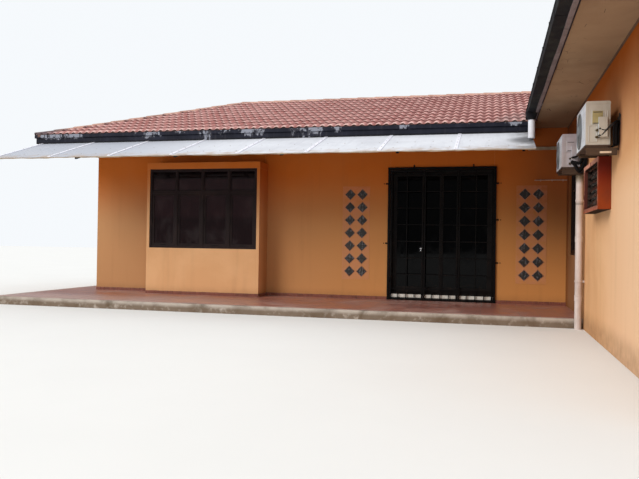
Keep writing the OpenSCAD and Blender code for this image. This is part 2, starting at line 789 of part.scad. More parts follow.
// Bay window: four lights with a fixed pane over each sash
bay_lights = 4;
bay_frame_y = 12 - bay_out;
light_w = (bay_in1 - bay_in0 - (bay_lights + 1) * frame_w) / bay_lights;
bay_light_x = [for (i = [0:bay_lights - 1]) bay_in0 + frame_w + i * (light_w + frame_w)];
transom_z = bay_head_z - frame_w - top_light_h - frame_w;
module bay_window_frame() {
    color(timber_colour) difference() {
        block([bay_in0, bay_frame_y, bay_sill_z], [bay_in1, bay_frame_y + frame_d, bay_head_z]);
        for (x = bay_light_x) {
            block([x, -bay_out, bay_sill_z + frame_w], [x + light_w, 0, transom_z]);
            block([x, -bay_out, transom_z + frame_w], [x + light_w, 0, bay_head_z - frame_w]);
        }
    }
}
module sash(x0, x1, y0, z0, z1) {
    difference() {
        block([x0, y0, z0], [x1, y0 + sash_t, z1]);
        block([x0 + sash_w, y0 - 1, z0 + sash_w], [x1 - sash_w, y0 + sash_t + 1, z1 - sash_w]);
    }
}
module pane(x0, x1, y0, z0, z1) {
    y = y0 + (sash_t - glass_t) / 2;
    block([x0 + sash_w, y, z0 + sash_w], [x1 - sash_w, y + glass_t, z1 - sash_w]);
}
module bay_sashes() {
    color(timber_colour) for (x = bay_light_x)
        sash(x, x + light_w, bay_frame_y + 15, bay_sill_z + frame_w, transom_z);
}
module bay_glass() {
    y = bay_frame_y + 15 + (sash_t - glass_t) / 2;
    color([0.22, 0.17, 0.2, 0.7]) for (x = bay_light_x) {
        pane(x, x + light_w, bay_frame_y + 15, bay_sill_z + frame_w, transom_z);
        block([x, y, transom_z + frame_w], [x + light_w, y + glass_t, bay_head_z - frame_w]);
    }
}

// Plain windows: two lights side by side
module each_window() {
    each_main_window() children();
    each_wing_window() children();
}
half_w = window_w / 2 - frame_w * 1.5;
module window_frames() {
    y = (wall_t - frame_d) / 2;
    color(timber_colour) each_window() difference() {
        block([-window_w / 2, y, window_sill_z], [window_w / 2, y + frame_d, window_head_z]);
        for (x = [frame_w - window_w / 2, frame_w / 2])
            block([x, 0, window_sill_z + frame_w], [x + half_w, wall_t, window_head_z - frame_w]);
    }
}
module window_glass() {
    y = wall_t / 2;
    color([0.22, 0.17, 0.2, 0.7]) each_window() for (x = [frame_w - window_w / 2, frame_w / 2])
        block([x, y, window_sill_z + frame_w], [x + half_w, y + glass_t, window_head_z - frame_w]);
}

// Louvre window in its projecting surround on the wing wall
module window_box() {
    color([0.63, 0.27, 0.12]) difference() {
        block([-box_out, -box_y - box_w, box_z], [0, -box_y, box_z + box_h]);
        block([-box_out - 1, -box_y - box_w + box_t, box_z + box_t],
              [1, -box_y - box_t, box_z + box_h - box_t]);
    }
}
module box_louvres() {
    front = 40 - box_out;
    depth = 40;
    h = box_h - 2 * box_t;
    y0 = -box_y - box_w + box_t;
    y1 = -box_y - box_t;
    step = (h - 60) / blade_count;
    color([0.30, 0.30, 0.30]) union() {
        difference() {
            block([front, y0, box_z + box_t], [front + depth, y1, box_z + box_t + h]);
            block([-box_out, y0 + 30, box_z + box_t + 30], [0, y1 - 30, box_z + box_t + h - 30]);
        }
        for (i = [0:blade_count - 1])
            along_y(y0 + 29, y1 - 29)
                translate([front + depth / 2, box_z + box_t + 30 + step * (i + 0.5)]) rotate(-25)
                    square([6, step * 0.9], center = true);
    }
}

// Outdoor units on the wing wall, with brackets and pipes
pipe_turn = 66;
pipe_out = -44 - pipe_turn;
units = [[near_unit_y, near_unit_z, 90], [far_unit_y, far_unit_z, pipe_out]];
pipe_hole_d = lagging_d + 26;
valve_z = 210;
pipe_z = 280;
pipe_holes = [for (u = units) [-5, u[2] - u[0] - unit_l, u[1] + pipe_z]];
module ac_units() {
    fan_y = unit_l - fan_r - 45;
    fan_z = unit_h / 2 - 10;
    color([0.84, 0.83, 0.78]) for (u = units) translate([-unit_back - unit_d, -u[0] - unit_l, u[1]]) {
        difference() {
            along_y(0, unit_l) rounded(unit_d, unit_h - 20, 18);
            translate([-1, fan_y, fan_z]) rotate([0, 90, 0]) cylinder(r = fan_r, h = 61);
        }
        translate([0, fan_y, fan_z]) {
            translate([20, 0, 0]) rotate([0, 90, 0]) cylinder(r = 45, h = 41);
            for (a = [0:60:300]) rotate([a, 0, 0]) translate([35, 30, -30]) rotate([0, -20, 0])
                cube([4, fan_r - 38, 60]);
        }
        for (y = [0, unit_l - 125]) translate([20, y, -foot_h]) cube([unit_d - 40, 60, foot_h + 1]);
        translate([130, -44, valve_z - 110]) cube([90, 46, 220]);
    }
}
module rounded(w, h, r) translate([r, r]) offset(r) square([w - 2 * r, h - 2 * r]);
module ac_brackets() {
    arm = unit_back + unit_d - 10;
    upright = 330;
    color([0.80, 0.80, 0.78]) for (u = units) for (y = [10, unit_l - 110])
        translate([0, -u[0] - unit_l + y, u[1] - foot_h]) union() {
            block([-arm, 0, -angle_t], [0, angle_w, 0]);
            block([-arm, 0, -angle_w], [0, angle_t, 0]);
            block([-angle_t, 0, -angle_w], [0, angle_w, upright]);
        }
}
module ac_pipes() {
    r = lagging_d / 2;
    x = -unit_back - unit_d + 175;
    behind = -unit_back / 2;
    color([0.14, 0.14, 0.14]) for (u = units) translate([0, -u[0] - unit_l, u[1]]) {
        round_back = u[2] > 0 ? [[behind, pipe_out, pipe_z], [behind, u[2], pipe_z]] : [];
        path = concat([[x, -44, valve_z], [x, pipe_out, valve_z], [x, pipe_out, pipe_z]],
                      round_back, [[20, u[2], pipe_z]]);
        union() {
            for (i = [1:len(path) - 1]) rod(path[i - 1], path[i], r);
            for (i = [1:len(path) - 2]) translate(path[i]) sphere(r);
        }
    }
}

main_floor_slab();
wing_floor_slab();
verandah_floor();
verandah_kerb();
front_wall_left();
front_wall_over_bay();
front_wall_middle();
front_wall_over_door();
front_wall_right();
left_end_wall();
main_rear_wall();
bay_sill_wall();
bay_side_walls();
bay_top_slab();
wing_court_wall();
wing_front_wall();
wing_outer_wall();
wing_rear_wall();
ceiling_beam();
ceilings();
main_soffit();
wing_soffit();
main_fascia();
wing_fascia();
main_roof();
wing_roof();
ridge_caps();
wing_gutter();
gutter_outlet();
downpipe();
awning_sheets();
awning_strips();
awning_frame();
door_sill();
door_frame();
fixed_leaf();
fixed_glass();
sliding_leaf();
sliding_glass();
grille_left_post();
grille_right_post();
grille_head();
grille_pass_leaf();
grille_folding_leaves();
wall_tiles();
bay_window_frame();
bay_sashes();
bay_glass();
window_frames();
window_glass();
window_box();
box_louvres();
ac_units();
ac_brackets();
ac_pipes();
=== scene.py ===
import json
import math

import bmesh
import bpy
import numpy as np
from mathutils import Matrix, Vector


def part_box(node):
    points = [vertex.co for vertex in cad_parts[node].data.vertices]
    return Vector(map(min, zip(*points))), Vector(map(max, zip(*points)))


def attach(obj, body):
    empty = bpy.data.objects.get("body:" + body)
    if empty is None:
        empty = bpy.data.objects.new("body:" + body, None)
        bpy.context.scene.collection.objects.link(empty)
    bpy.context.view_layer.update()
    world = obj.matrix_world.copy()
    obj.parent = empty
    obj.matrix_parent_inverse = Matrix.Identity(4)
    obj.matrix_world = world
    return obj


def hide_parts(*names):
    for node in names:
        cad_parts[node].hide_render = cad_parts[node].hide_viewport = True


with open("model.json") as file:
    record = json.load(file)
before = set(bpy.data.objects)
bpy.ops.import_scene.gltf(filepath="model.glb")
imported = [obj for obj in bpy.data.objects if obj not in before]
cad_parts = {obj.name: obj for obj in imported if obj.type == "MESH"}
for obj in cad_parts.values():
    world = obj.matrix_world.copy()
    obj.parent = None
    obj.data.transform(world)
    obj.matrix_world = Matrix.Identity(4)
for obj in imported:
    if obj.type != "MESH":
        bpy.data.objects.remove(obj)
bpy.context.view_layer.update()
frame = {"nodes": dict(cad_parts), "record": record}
nodes = frame["nodes"]
scene = bpy.context.scene
print("frame loaded:", len(nodes), "nodes")

# Driving sizes of the house, in metres, as the solids have them; the court's two walls stand at x 0 and y 0
house = {
    "pitch": math.tan(math.radians(20)),
    "roofThickness": 0.06,
    "floorHeight": 0.15,
    "left": -9.67,
    "rear": 4.8,
    "outer": 6.6,
    "front": -8.4,
}


# Shader building blocks
def screenColour(red, green, blue):
    channels = [value / 255 for value in (red, green, blue)]
    linear = [c / 12.92 if c < 0.04045 else ((c + 0.055) / 1.055) ** 2.4 for c in channels]
    return (*linear, 1.0)


def addNode(tree, kind, inputs=None, **settings):
    node = tree.nodes.new(kind)
    for name, value in settings.items():
        setattr(node, name, value)
    for name, value in (inputs or {}).items():
        value = getattr(value, "socket", value)
        if isinstance(value, bpy.types.NodeSocket):
            tree.links.new(value, node.inputs[name])
        else:
            node.inputs[name].default_value = value
    return node


# A shader value that takes the signs of arithmetic: each one adds a math node to its tree
class Field:
    def __init__(self, tree, socket):
        self.tree = tree
        self.socket = socket

    def __add__(self, other):
        return maths("ADD", self, other)

    def __sub__(self, other):
        return maths("SUBTRACT", self, other)

    def __rsub__(self, other):
        return maths("SUBTRACT", other, self)

    def __mul__(self, other):
        return maths("MULTIPLY", self, other)

    def __truediv__(self, other):
        return maths("DIVIDE", self, other)

    def __abs__(self):
        return maths("ABSOLUTE", self)


def newField(tree, kind, output, inputs=None, **settings):
    return Field(tree, addNode(tree, kind, inputs, **settings).outputs[output])


def maths(operation, first, second=0.0, clamp=False):
    tree = first.tree if isinstance(first, Field) else second.tree
    return newField(tree, "ShaderNodeMath", 0, {0: first, 1: second}, operation=operation, use_clamp=clamp)


def mixed(amount, first, second):
    return newField(amount.tree, "ShaderNodeMix", 2, {0: amount, 6: first, 7: second}, data_type="RGBA")


def between(value, low, high):
    inputs = {"Value": value, "From Min": low, "From Max": high}
    return newField(value.tree, "ShaderNodeMapRange", 0, inputs, interpolation_type="SMOOTHSTEP")


def noise(place, scale, detail=3.0, roughness=0.55, distortion=0.0):
    inputs = {"Vector": place, "Scale": scale, "Detail": detail, "Roughness": roughness,
              "Distortion": distortion}
    return newField(place.tree, "ShaderNodeTexNoise", 0, inputs)


def stretched(place, scale, offset=(0, 0, 0)):
    return newField(place.tree, "ShaderNodeMapping", 0, {"Vector": place, "Scale": scale, "Location": offset})


def vectorMaths(operation, output, inputs):
    return newField(inputs[0].tree, "ShaderNodeVectorMath", output, inputs, operation=operation)


def axes(place):
    split = addNode(place.tree, "ShaderNodeSeparateXYZ", {0: place})
    return [Field(place.tree, part) for part in split.outputs]


def randomOf(tree, cells):
    tileId = addNode(tree, "ShaderNodeCombineXYZ", dict(enumerate(maths("FLOOR", cell) for cell in cells)))
    return newField(tree, "ShaderNodeTexWhiteNoise", "Value", {"Vector": tileId.outputs[0]})


# Effect groups: an input without a number is a vector, and only a normal comes out as one
def newGroup(name, outputs, **inputs):
    group = bpy.data.node_groups.new(name, "ShaderNodeTree")
    for label, value in inputs.items():
        kind = "NodeSocketVector" if value is None else "NodeSocketFloat"
        socket = group.interface.new_socket(label, in_out="INPUT", socket_type=kind)
        if value is not None:
            socket.default_value = value
    for label in outputs:
        kind = "NodeSocketVector" if label == "Normal" else "NodeSocketFloat"
        group.interface.new_socket(label, in_out="OUTPUT", socket_type=kind)
    source = addNode(group, "NodeGroupInput")
    return group, *(Field(group, source.outputs[label]) for label in inputs)


def useGroup(tree, group, **inputs):
    return [Field(tree, part) for part in addNode(tree, "ShaderNodeGroup", inputs, node_tree=group).outputs]


# Soft stains, rain streaks and fine grain, each from 0 to 1
def makeGrime():
    group, place, size = newGroup("Grime", ("Stain", "Streak", "Grain"), Place=None, Size=1.0)
    sized = vectorMaths("SCALE", 0, {0: place, "Scale": size})
    stain = between(noise(sized, 1.3, 5.0, 0.6, 0.4), 0.42, 0.72)
    streak = between(noise(stretched(sized, (9.0, 9.0, 0.55)), 1.0, 3.0, 0.6), 0.50, 0.78)
    grain = noise(sized, 70.0, 4.0, 0.65)
    addNode(group, "NodeGroupOutput", {"Stain": stain, "Streak": streak, "Grain": grain})
    return group


# Rounded corners: a mask along the edges of the solids, and the normal that rounds them
def makeEdges():
    group, radius = newGroup("Edges", ("Worn", "Normal"), Radius=0.004)
    bevel = newField(group, "ShaderNodeBevel", 0, {"Radius": radius}, samples=4)
    flat = newField(group, "ShaderNodeNewGeometry", "Normal")
    worn = between(vectorMaths("DOT_PRODUCT", "Value", {0: bevel, 1: flat}), 0.995, 0.80)
    addNode(group, "NodeGroupOutput", {"Worn": worn, "Normal": bevel})
    return group


# Square tiles on a floor: a mask of the joints and one random value for each tile
def makeTileGrid():
    group, place, side, joint = newGroup("Tile grid", ("Joints", "Random"), Place=None, Side=0.3, Joint=0.01)
    cells = [axis / side for axis in axes(place)]
    masks = [maths("GREATER_THAN", abs(maths("FRACT", cell) - 0.5), 0.5 - joint) for cell in cells[:2]]
    addNode(group, "NodeGroupOutput", {"Joints": maths("MAXIMUM", *masks), "Random": randomOf(group, cells)})
    return group


# Paint that has peeled off in upright flakes
def makePeel():
    group, place, amount = newGroup("Peel", ("Bare", "Rim"), Place=None, Amount=0.5)
    patches = noise(stretched(place, (1.3, 1.3, 0.8), (4.3, 0.0, 0.0)), 1.0, 2.0, 0.5)
    flakes = noise(stretched(place, (14.0, 14.0, 6.0)), 1.0, 4.0, 0.7, 0.6)
    level = patches * 0.55 + flakes * 0.45 + amount
    addNode(group, "NodeGroupOutput", {"Bare": between(level, 1.0, 1.03), "Rim": between(level, 0.97, 1.0)})
    return group


grime, edges, tileGrid, peel = makeGrime(), makeEdges(), makeTileGrid(), makePeel()
print("shared shader groups made")


# One material, built up from its body colour by laying named colours over it through masks
class Coat:
    def __init__(self, name, roughness, size, colours, **more):
        self.material = bpy.data.materials.new(name)
        self.material.use_nodes = True
        self.tree = self.material.node_tree
        self.tree.nodes.clear()
        names = {key[0].upper() + key[1:]: value for key, value in more.items()}
        inputs = {"Roughness": roughness, "Specular IOR Level": names.pop("Specular", 0.4), **names}
        self.shader = addNode(self.tree, "ShaderNodeBsdfPrincipled", inputs)
        addNode(self.tree, "ShaderNodeOutputMaterial", {"Surface": self.shader.outputs[0]})
        self.place = newField(self.tree, "ShaderNodeTexCoord", "Object")
        self.axes = axes(self.place)
        self.stain, self.streak, self.grain = useGroup(self.tree, grime, Place=self.place, Size=size)
        self.colours = {label: screenColour(*colour) for label, colour in colours.items()}
        self.colour = self.colours["body"]
        self.normal = None

    def mixed(self, amount, first, second):
        return mixed(amount, self.colours[first], self.colours[second])

    def over(self, mask, colour):
        self.colour = mixed(mask, self.colour, self.colours[colour] if isinstance(colour, str) else colour)

    def noise(self, *settings):
        return noise(self.place, *settings)

    def facing(self):
        return axes(newField(self.tree, "ShaderNodeNewGeometry", "Normal"))

    def edge(self, radius):
        worn, self.normal = useGroup(self.tree, edges, Radius=radius)
        return worn

    def plug(self, name, value):
        self.tree.links.new(value.socket, self.shader.inputs[name])

    def finish(self, height, distance):
        inputs = {"Height": height, "Distance": distance, "Strength": 1.0}
        if self.normal:
            inputs["Normal"] = self.normal
        self.plug("Base Color", self.colour)
        self.plug("Normal", newField(self.tree, "ShaderNodeBump", 0, inputs))
        return self.material


# Emulsion on cement render: chalky drifts, rain streaks, a splashed foot and a trowelled surface. Painted light
# lies low on the court wall; painted shade lies under the awning, the eaves and in the corner; soot rings the
# holes.
def makeWallPaint(name="wallPaint", rosy=0.0):
    look = {
        "shadeFront": (1.45, 2.80),
        "shadeCourt": 2.03,
        "holes": ((0.0, -5.17, 2.60), (0.0, -2.66, 2.64)),
        "holeReach": (0.34, 0.15),
        "holeDrop": (0.0, 0.0, 0.05),
    }
    coat = Coat(name, 0.85, 0.6, {
        "body": (220, 168, 120), "chalky": (229, 180, 132), "paintedLight": (233, 192, 154),
        "frontShadeLeft": (190, 140, 96), "inner": (205, 140, 78), "deep": (195, 104, 37), "courtShade": (158, 78, 10),
        "rose": (206, 142, 122), "sootAndShade": (114, 60, 42), "dirt": (122, 84, 54), "dampAndPipeShadow": (104, 58, 28),
    }, specular=0.12)
    x, y, height = coat.axes
    coat.over(coat.stain, "chalky")
    # Painted light on the lower court wall towards its outer end
    coat.over(between(y, -3.2, -6.2) * between(height, 2.3, 1.7), "paintedLight")
    # Painted shade on the front wall and behind its plane, more orange towards the corner
    coat.over(between(y, -0.45, -0.10) * 0.95, coat.mixed(between(x, -8.5, -0.8), "frontShadeLeft", "inner"))
    # Painted shade under the awning on the front and under the eaves on the court side: it starts at a set
    # height, higher on the court side, and deepens upwards to the deep colours
    court = between(y, -1.2, -3.0)
    foot, head = look["shadeFront"]
    level = height - (court * (look["shadeCourt"] - foot) + foot)
    paintedShade = between(level, 0.0, head - foot)
    even = maths("DIVIDE", level, head - foot, True) - paintedShade
    paintedShade = maths("MULTIPLY", paintedShade + even * court, coat.noise(0.5) * 0.5 + 0.76, True)
    coat.over(paintedShade, coat.mixed(court, "deep", "courtShade"))
    # Painted shade in the inner corner of the court
    corner = between(x, -1.3, -0.05) * between(y, -1.6, -0.2) * between(height, 0.3, 2.3)
    coat.over(corner * 0.5, "sootAndShade")
    coat.over(coat.streak * 0.10, "dirt")
    coat.over(between(height, 0.36, 0.12) * coat.noise(6.0, 4.0, 0.6) * 0.7, "dirt")
    for hole in look["holes"]:
        offset = vectorMaths("SUBTRACT", 0, {0: coat.place, 1: hole})
        drop = stretched(offset, (1.0, 1.3, 0.62), look["holeDrop"])
        reach = vectorMaths("LENGTH", "Value", {0: drop})
        coat.over(between(reach + coat.noise(7.0, 4.0, 0.7) * 0.16, *look["holeReach"]) * 0.8, "sootAndShade")
    # Painted shadow of the waste pipe on the court wall, with a damp stain
    coat.over(between(y, -2.34, -2.22) * between(x, -0.02, -0.004) * 0.7, "dampAndPipeShadow")
    if rosy:
        coat.over(between(coat.noise(6.0, 4.0, 0.6), 0.25, 0.6) * rosy, "rose")
    coat.over(coat.edge(0.008) * 0.35, "chalky")
    return coat.finish(coat.noise(2.2, 2.0) * 3.0 + coat.grain, 0.0016)


# Boards under the eaves: joints, soft brown stains, a few cracks in the paint and painted shade in the inner
# corner
def makeSoffitBoard():
    look = {"board": 2.4, "jointWidth": 0.0012, "crackCell": (9.0, 3.2, 5.0)}
    coat = Coat("soffitBoard", 0.75, 1.1, {
        "body": (158, 130, 100), "pale": (174, 148, 118), "stain": (118, 88, 64), "joint": (70, 54, 42),
        "sootAndShade": (70, 44, 30),
    }, specular=0.25)
    x, y, _ = coat.axes
    coat.over(coat.noise(2.0, 4.0), "pale")
    coat.over(between(y, -3.6, -5.8) * 0.22, "stain")
    # Painted shade in the inner corner under the eaves
    coat.over(between(y, -2.3, -1.0) * between(x, -1.2, -0.2) * 0.4, "sootAndShade")
    coat.over(coat.stain * 0.35, "stain")
    joints, _ = useGroup(coat.tree, tileGrid, Place=coat.place, Side=look["board"], Joint=look["jointWidth"])
    cells = {"Vector": stretched(coat.place, look["crackCell"]), "Scale": 1.0}
    veins = newField(coat.tree, "ShaderNodeTexVoronoi", "Distance", cells, feature="DISTANCE_TO_EDGE")
    cracked = between(veins, 0.030, 0.008) * between(coat.noise(2.6, 2.0), 0.60, 0.70)
    lines = maths("MAXIMUM", joints * 0.35, cracked)
    coat.over(lines, "joint")
    return coat.finish(coat.grain - lines * 3.0, 0.0007)


# Dark blue-black fascia paint, peeled to a whitish primer mostly near its upper edge; painted shadow at its
# lower edge
def makeFasciaPaint():
    look = {
        "lowShare": 0.365,
        "topShare": 0.060,
        "patchShare": 0.150,
        "front": (-0.80, -0.88),
        # Each patch on the court side: its middle along the board, half its length and its lower edge
        "patches": ((-10.0, 0.50, 3.27), (-7.92, 0.18, 3.24), (-7.34, 0.16, 3.31), (-6.36, 0.09, 3.20),
                    (-5.80, 0.24, 3.22), (-4.56, 0.02, 3.25), (-4.14, 0.05, 3.25), (-2.92, 0.08, 3.28),
                    (-0.98, 0.12, 3.33)),
    }
    coat = Coat("fasciaPaint", 0.6, 1.6, {
        "body": (22, 24, 36), "worn": (36, 38, 52), "primer": (138, 141, 152), "dust": (74, 72, 76),
        "low": (12, 13, 20),
    }, specular=0.15)
    x, y, height = coat.axes
    mainEdge = between(height, 3.22, 3.38) * between(height, 3.42, 3.395)
    amount = maths("MAXIMUM", mainEdge, between(height, 3.44, 3.56)) * look["topShare"] + look["lowShare"]
    front = between(y, *look["front"]) * look["patchShare"]
    wander = (coat.noise(11.0, 4.0, 0.7) - 0.5) * 0.5
    ragged = height + wander * 0.35
    for middle, half, foot in look["patches"]:
        patch = between(abs(x - middle) + wander, half + 0.10, half - 0.08)
        amount = amount + patch * between(ragged, foot - 0.02, foot + 0.05) * front
    bare, rim = useGroup(coat.tree, peel, Place=coat.place, Amount=amount)
    coat.over(coat.stain, "worn")
    # Painted shadow along the lower edge of the main fascia
    coat.over(between(height, 3.245, 3.215), "low")
    coat.over(coat.streak * 0.3, "dust")
    coat.over(rim * 0.6, "dust")
    coat.over(bare, "primer")
    coat.edge(0.004)
    return coat.finish(coat.grain * 0.3 - bare, 0.001)


# The roof's front left corner is painted dark grey
def leftCorner(coat):
    x, y, _ = coat.axes
    return between(x, -9.95, -10.35) * between(y, 0.5, 0.0)


# Roof tiles: each its own pinkish red, with painted shadow under laps and in pans and a painted highlight on
# each nose
def makeRoofTiles():
    # Plan of the ridges and valleys, to paint shadow on the tiles beside the hips and grey them along a valley
    look = {
        "mainMiddle": 2.40,
        "mainRidgeEnd": -7.27,
        "valleyEnd": 2.12,
        "wingMiddle": (3.30, -1.665),
        "wingRidgeHalf": 3.435,
    }
    coat = Coat("roofTiles", 0.72, 1.4, {
        "body": (178, 112, 105), "pink": (200, 146, 139), "brown": (150, 88, 82), "shadowAndSoot": (66, 36, 36),
        "paintedLight": (226, 190, 182), "lichen": (206, 190, 172), "grey": (120, 106, 104),
        "corner": (74, 70, 78),
    }, specular=0.25)
    column, course, _ = axes(newField(coat.tree, "ShaderNodeUVMap", 0, uv_map="tile"))
    coat.over(randomOf(coat.tree, (column * 0.5, course)), "pink")
    coat.over(coat.stain * 0.45, "brown")
    across, along = abs(maths("FRACT", column) - 0.5), maths("FRACT", course)
    # Painted shadow in the pans between the rolls and under each lap
    pan, lap = between(across, 0.22, 0.46) * 0.46, between(along, 0.70, 0.94) * 0.64
    coat.over(maths("MAXIMUM", pan, lap), "shadowAndSoot")
    # Painted highlight along each nose
    coat.over(between(along, 0.30, 0.06) * between(across, 0.42, 0.12) * 0.8, "paintedLight")
    coat.over(between(coat.noise(26.0, 3.0, 0.7), 0.62, 0.74) * 0.35, "lichen")
    x, y, _ = coat.axes
    slant = x + abs(y - look["mainMiddle"])
    valley = between(abs(slant - look["valleyEnd"]), 0.65, 0.10) * between(x, -1.9, -1.0)
    coat.over(valley * between(coat.noise(3.0, 4.0, 0.7), 0.25, 0.60) * 0.55, "grey")
    mainHip = abs(slant - look["mainRidgeEnd"])
    wingHip = abs(abs(x - look["wingMiddle"][0]) - abs(y - look["wingMiddle"][1]) + look["wingRidgeHalf"])
    # Painted shadow beside the hips, under the caps' edges
    coat.over(between(maths("MINIMUM", mainHip, wingHip), 0.27, 0.17) * 0.6, "shadowAndSoot")
    coat.over(leftCorner(coat) * 0.75, "corner")
    return coat.finish(coat.grain, 0.0015)


# Ridge and hip caps: the same clay, paler and with soot on it
def makeCapClay():
    coat = Coat("capClay", 0.75, 2.2, {
        "body": (180, 134, 119), "pale": (203, 167, 150), "shadowAndSoot": (112, 76, 70), "corner": (70, 66, 74),
    }, specular=0.2)
    coat.over(coat.noise(2.6), "pale")
    coat.over(coat.stain * 0.55, "shadowAndSoot")
    coat.over(leftCorner(coat) * 0.8, "corner")
    coat.over(coat.edge(0.006) * 0.5, "pale")
    return coat.finish(coat.grain, 0.0015)


# Cement bedding under tiles and caps, grey-white with soot; its darkening also paints the shade under the caps'
# edges
def makeMortar():
    coat = Coat("mortar", 0.9, 4.0, {"body": (134, 106, 98), "dark": (58, 40, 38)}, specular=0.1)
    coat.over(between(coat.noise(3.5, 4.0, 0.7), 0.40, 0.66), "dark")
    coat.over(coat.grain * 0.5, "dark")
    return coat.finish(coat.grain, 0.003)


# Thin metal, plastic and painted parts share one recipe: body, stains, streaks and worn edges
def makePainted(name, body, stain, rim, roughness=0.45, stains=0.4, streaks=0.3, wear=0.5, size=2.0,
                grain=0.0004, **more):
    coat = Coat(name, roughness, size, {"body": body, "stain": stain, "rim": rim}, **more)
    coat.over(coat.stain * stains, "stain")
    coat.over(coat.streak * streaks, "stain")
    coat.over(coat.edge(0.002) * between(coat.noise(18.0), 0.35, 0.65) * wear, "rim")
    return coat.finish(coat.grain, grain)


# Unit casings: enamelled sheet, warm grey on the near unit and lilac grey on the far one, with rusty edges
def makeCasing():
    look = {"halfway": (-4.2, -3.0), "feet": (2.339, 2.389)}
    coat = Coat("unitCasing", 0.45, 2.0, {
        "body": (185, 179, 167), "far": (182, 176, 184), "front": (212, 217, 224), "foot": (66, 50, 40),
        "stain": (140, 122, 100), "rust": (128, 84, 54),
    }, specular=0.25)
    _, y, height = coat.axes
    away = between(y, *look["halfway"])
    coat.over(away, "far")
    # Painted light: faces turned away from the wall are bluish white, as if lit by the sky
    coat.over(between(coat.facing()[0], -0.4, -0.8), "front")
    coat.over(coat.stain * 0.35, "stain")
    coat.over(coat.streak * 0.35, "stain")
    coat.over(coat.edge(0.003) * between(coat.noise(14.0), 0.50, 0.62) * 0.8, "rust")
    near, far = look["feet"]
    coat.over(between(height - away * (far - near), near + 0.002, near - 0.001), "foot")
    return coat.finish(coat.grain, 0.0004)


# Weathered white sheet: dirt drifts towards the lower edge, faint water lines down the slope
def makeAwningBoard():
    look = {
        "pipeFoot": (-0.80, -1.65, 3.0),
        "lowEdge": -2.335,
        "wetEnd": (-1.15, -0.72),
        "water": (16.0, 1.2, 1.2),
    }
    coat = Coat("awningBoard", 0.55, 1.2, {
        "body": (212, 214, 220), "grey": (184, 185, 192), "beige": (172, 148, 124), "shadowAndSoot": (96, 96, 100),
        "darkerLeft": (172, 176, 186),
    }, specular=0.35)
    x, y, _ = coat.axes
    # Darker towards the left end
    coat.over(between(x, -5.5, -8.5), "darkerLeft")
    coat.over(coat.stain * 0.5, "grey")
    coat.over(between(noise(stretched(coat.place, look["water"]), 1.0, 4.0, 0.6), 0.45, 0.75) * 0.35, "grey")
    nearEdge = between(y, look["lowEdge"] + 0.35, look["lowEdge"])
    coat.over(nearEdge * between(coat.noise(5.0, 4.0), 0.35, 0.7) * 0.8, "beige")
    coat.over(between(x, *look["wetEnd"]) * between(coat.noise(4.0, 4.0, 0.65), 0.30, 0.62) * 0.8, "shadowAndSoot")
    reach = vectorMaths("DISTANCE", "Value", {0: coat.place, 1: look["pipeFoot"]})
    coat.over(between(reach, 0.42, 0.12) * 0.85, "shadowAndSoot")
    return coat.finish(coat.grain + coat.noise(2.5, 1.0) * 6.0, 0.0015)


# Glazed floor tiles with pale joints, dulled by dust
def makeFloorTiles():
    look = {"side": 0.3, "jointShare": 0.012}
    coat = Coat("floorTiles", 0.42, 1.0, {
        "body": (160, 100, 84), "plum": (146, 98, 90), "joint": (134, 114, 104), "dust": (184, 158, 148),
        "paleLeftFront": (184, 152, 146),
    }, specular=0.45)
    joints, random = useGroup(coat.tree, tileGrid, Place=coat.place, Side=look["side"],
                              Joint=look["jointShare"])
    x, y, _ = coat.axes
    coat.over(random, "plum")
    # Paler towards the front left
    coat.over(between(x, -4.0, -8.0) * between(y, -0.9, -1.9) * 0.85, "paleLeftFront")
    coat.over(coat.stain * 0.55, "dust")
    coat.over(joints, "joint")
    coat.plug("Roughness", coat.stain * 0.35 + 0.32)
    return coat.finish(coat.grain * 0.2 - joints, 0.0015)


# Trowelled concrete with dark damp patches, an earthy foot and pitted edges
def makeConcrete():
    coat = Coat("concrete", 0.9, 2.0, {"body": (186, 174, 162), "dark": (122, 110, 98), "earth": (98, 78, 58)},
                specular=0.15)
    coat.over(coat.stain, "dark")
    coat.over(between(coat.axes[2], 0.135, 0.06) * between(coat.noise(8.0, 4.0), 0.25, 0.5) * 0.8, "earth")
    pits = between(coat.noise(45.0, 3.0, 0.7), 0.62, 0.72)
    coat.over(pits * 0.5, "dark")
    coat.over(coat.edge(0.012) * 0.4, "body")
    return coat.finish(coat.grain - pits * 1.5, 0.002)


# Riven slate: dark grey layers that split in steps, with a little rust
def makeSlate():
    coat = Coat("slate", 0.5, 1.0, {"body": (25, 25, 24), "light": (98, 98, 102), "rust": (70, 44, 26)},
                specular=0.5)
    layers = noise(stretched(coat.place, (9.0, 3.0, 11.0)), 1.0, 5.0, 0.65, 0.8)
    bands = newField(coat.tree, "ShaderNodeTexWave", "Fac",
                     {"Vector": coat.place, "Scale": 5.0, "Distortion": 9.0, "Detail": 3.0})
    steps = layers * 0.88 + bands * 0.12
    coat.over(between(steps, 0.50, 0.70), "light")
    coat.over(between(coat.noise(9.0), 0.55, 0.68) * 0.6, "rust")
    coat.over(coat.edge(0.003) * 0.4, "light")
    return coat.finish(steps, 0.006)


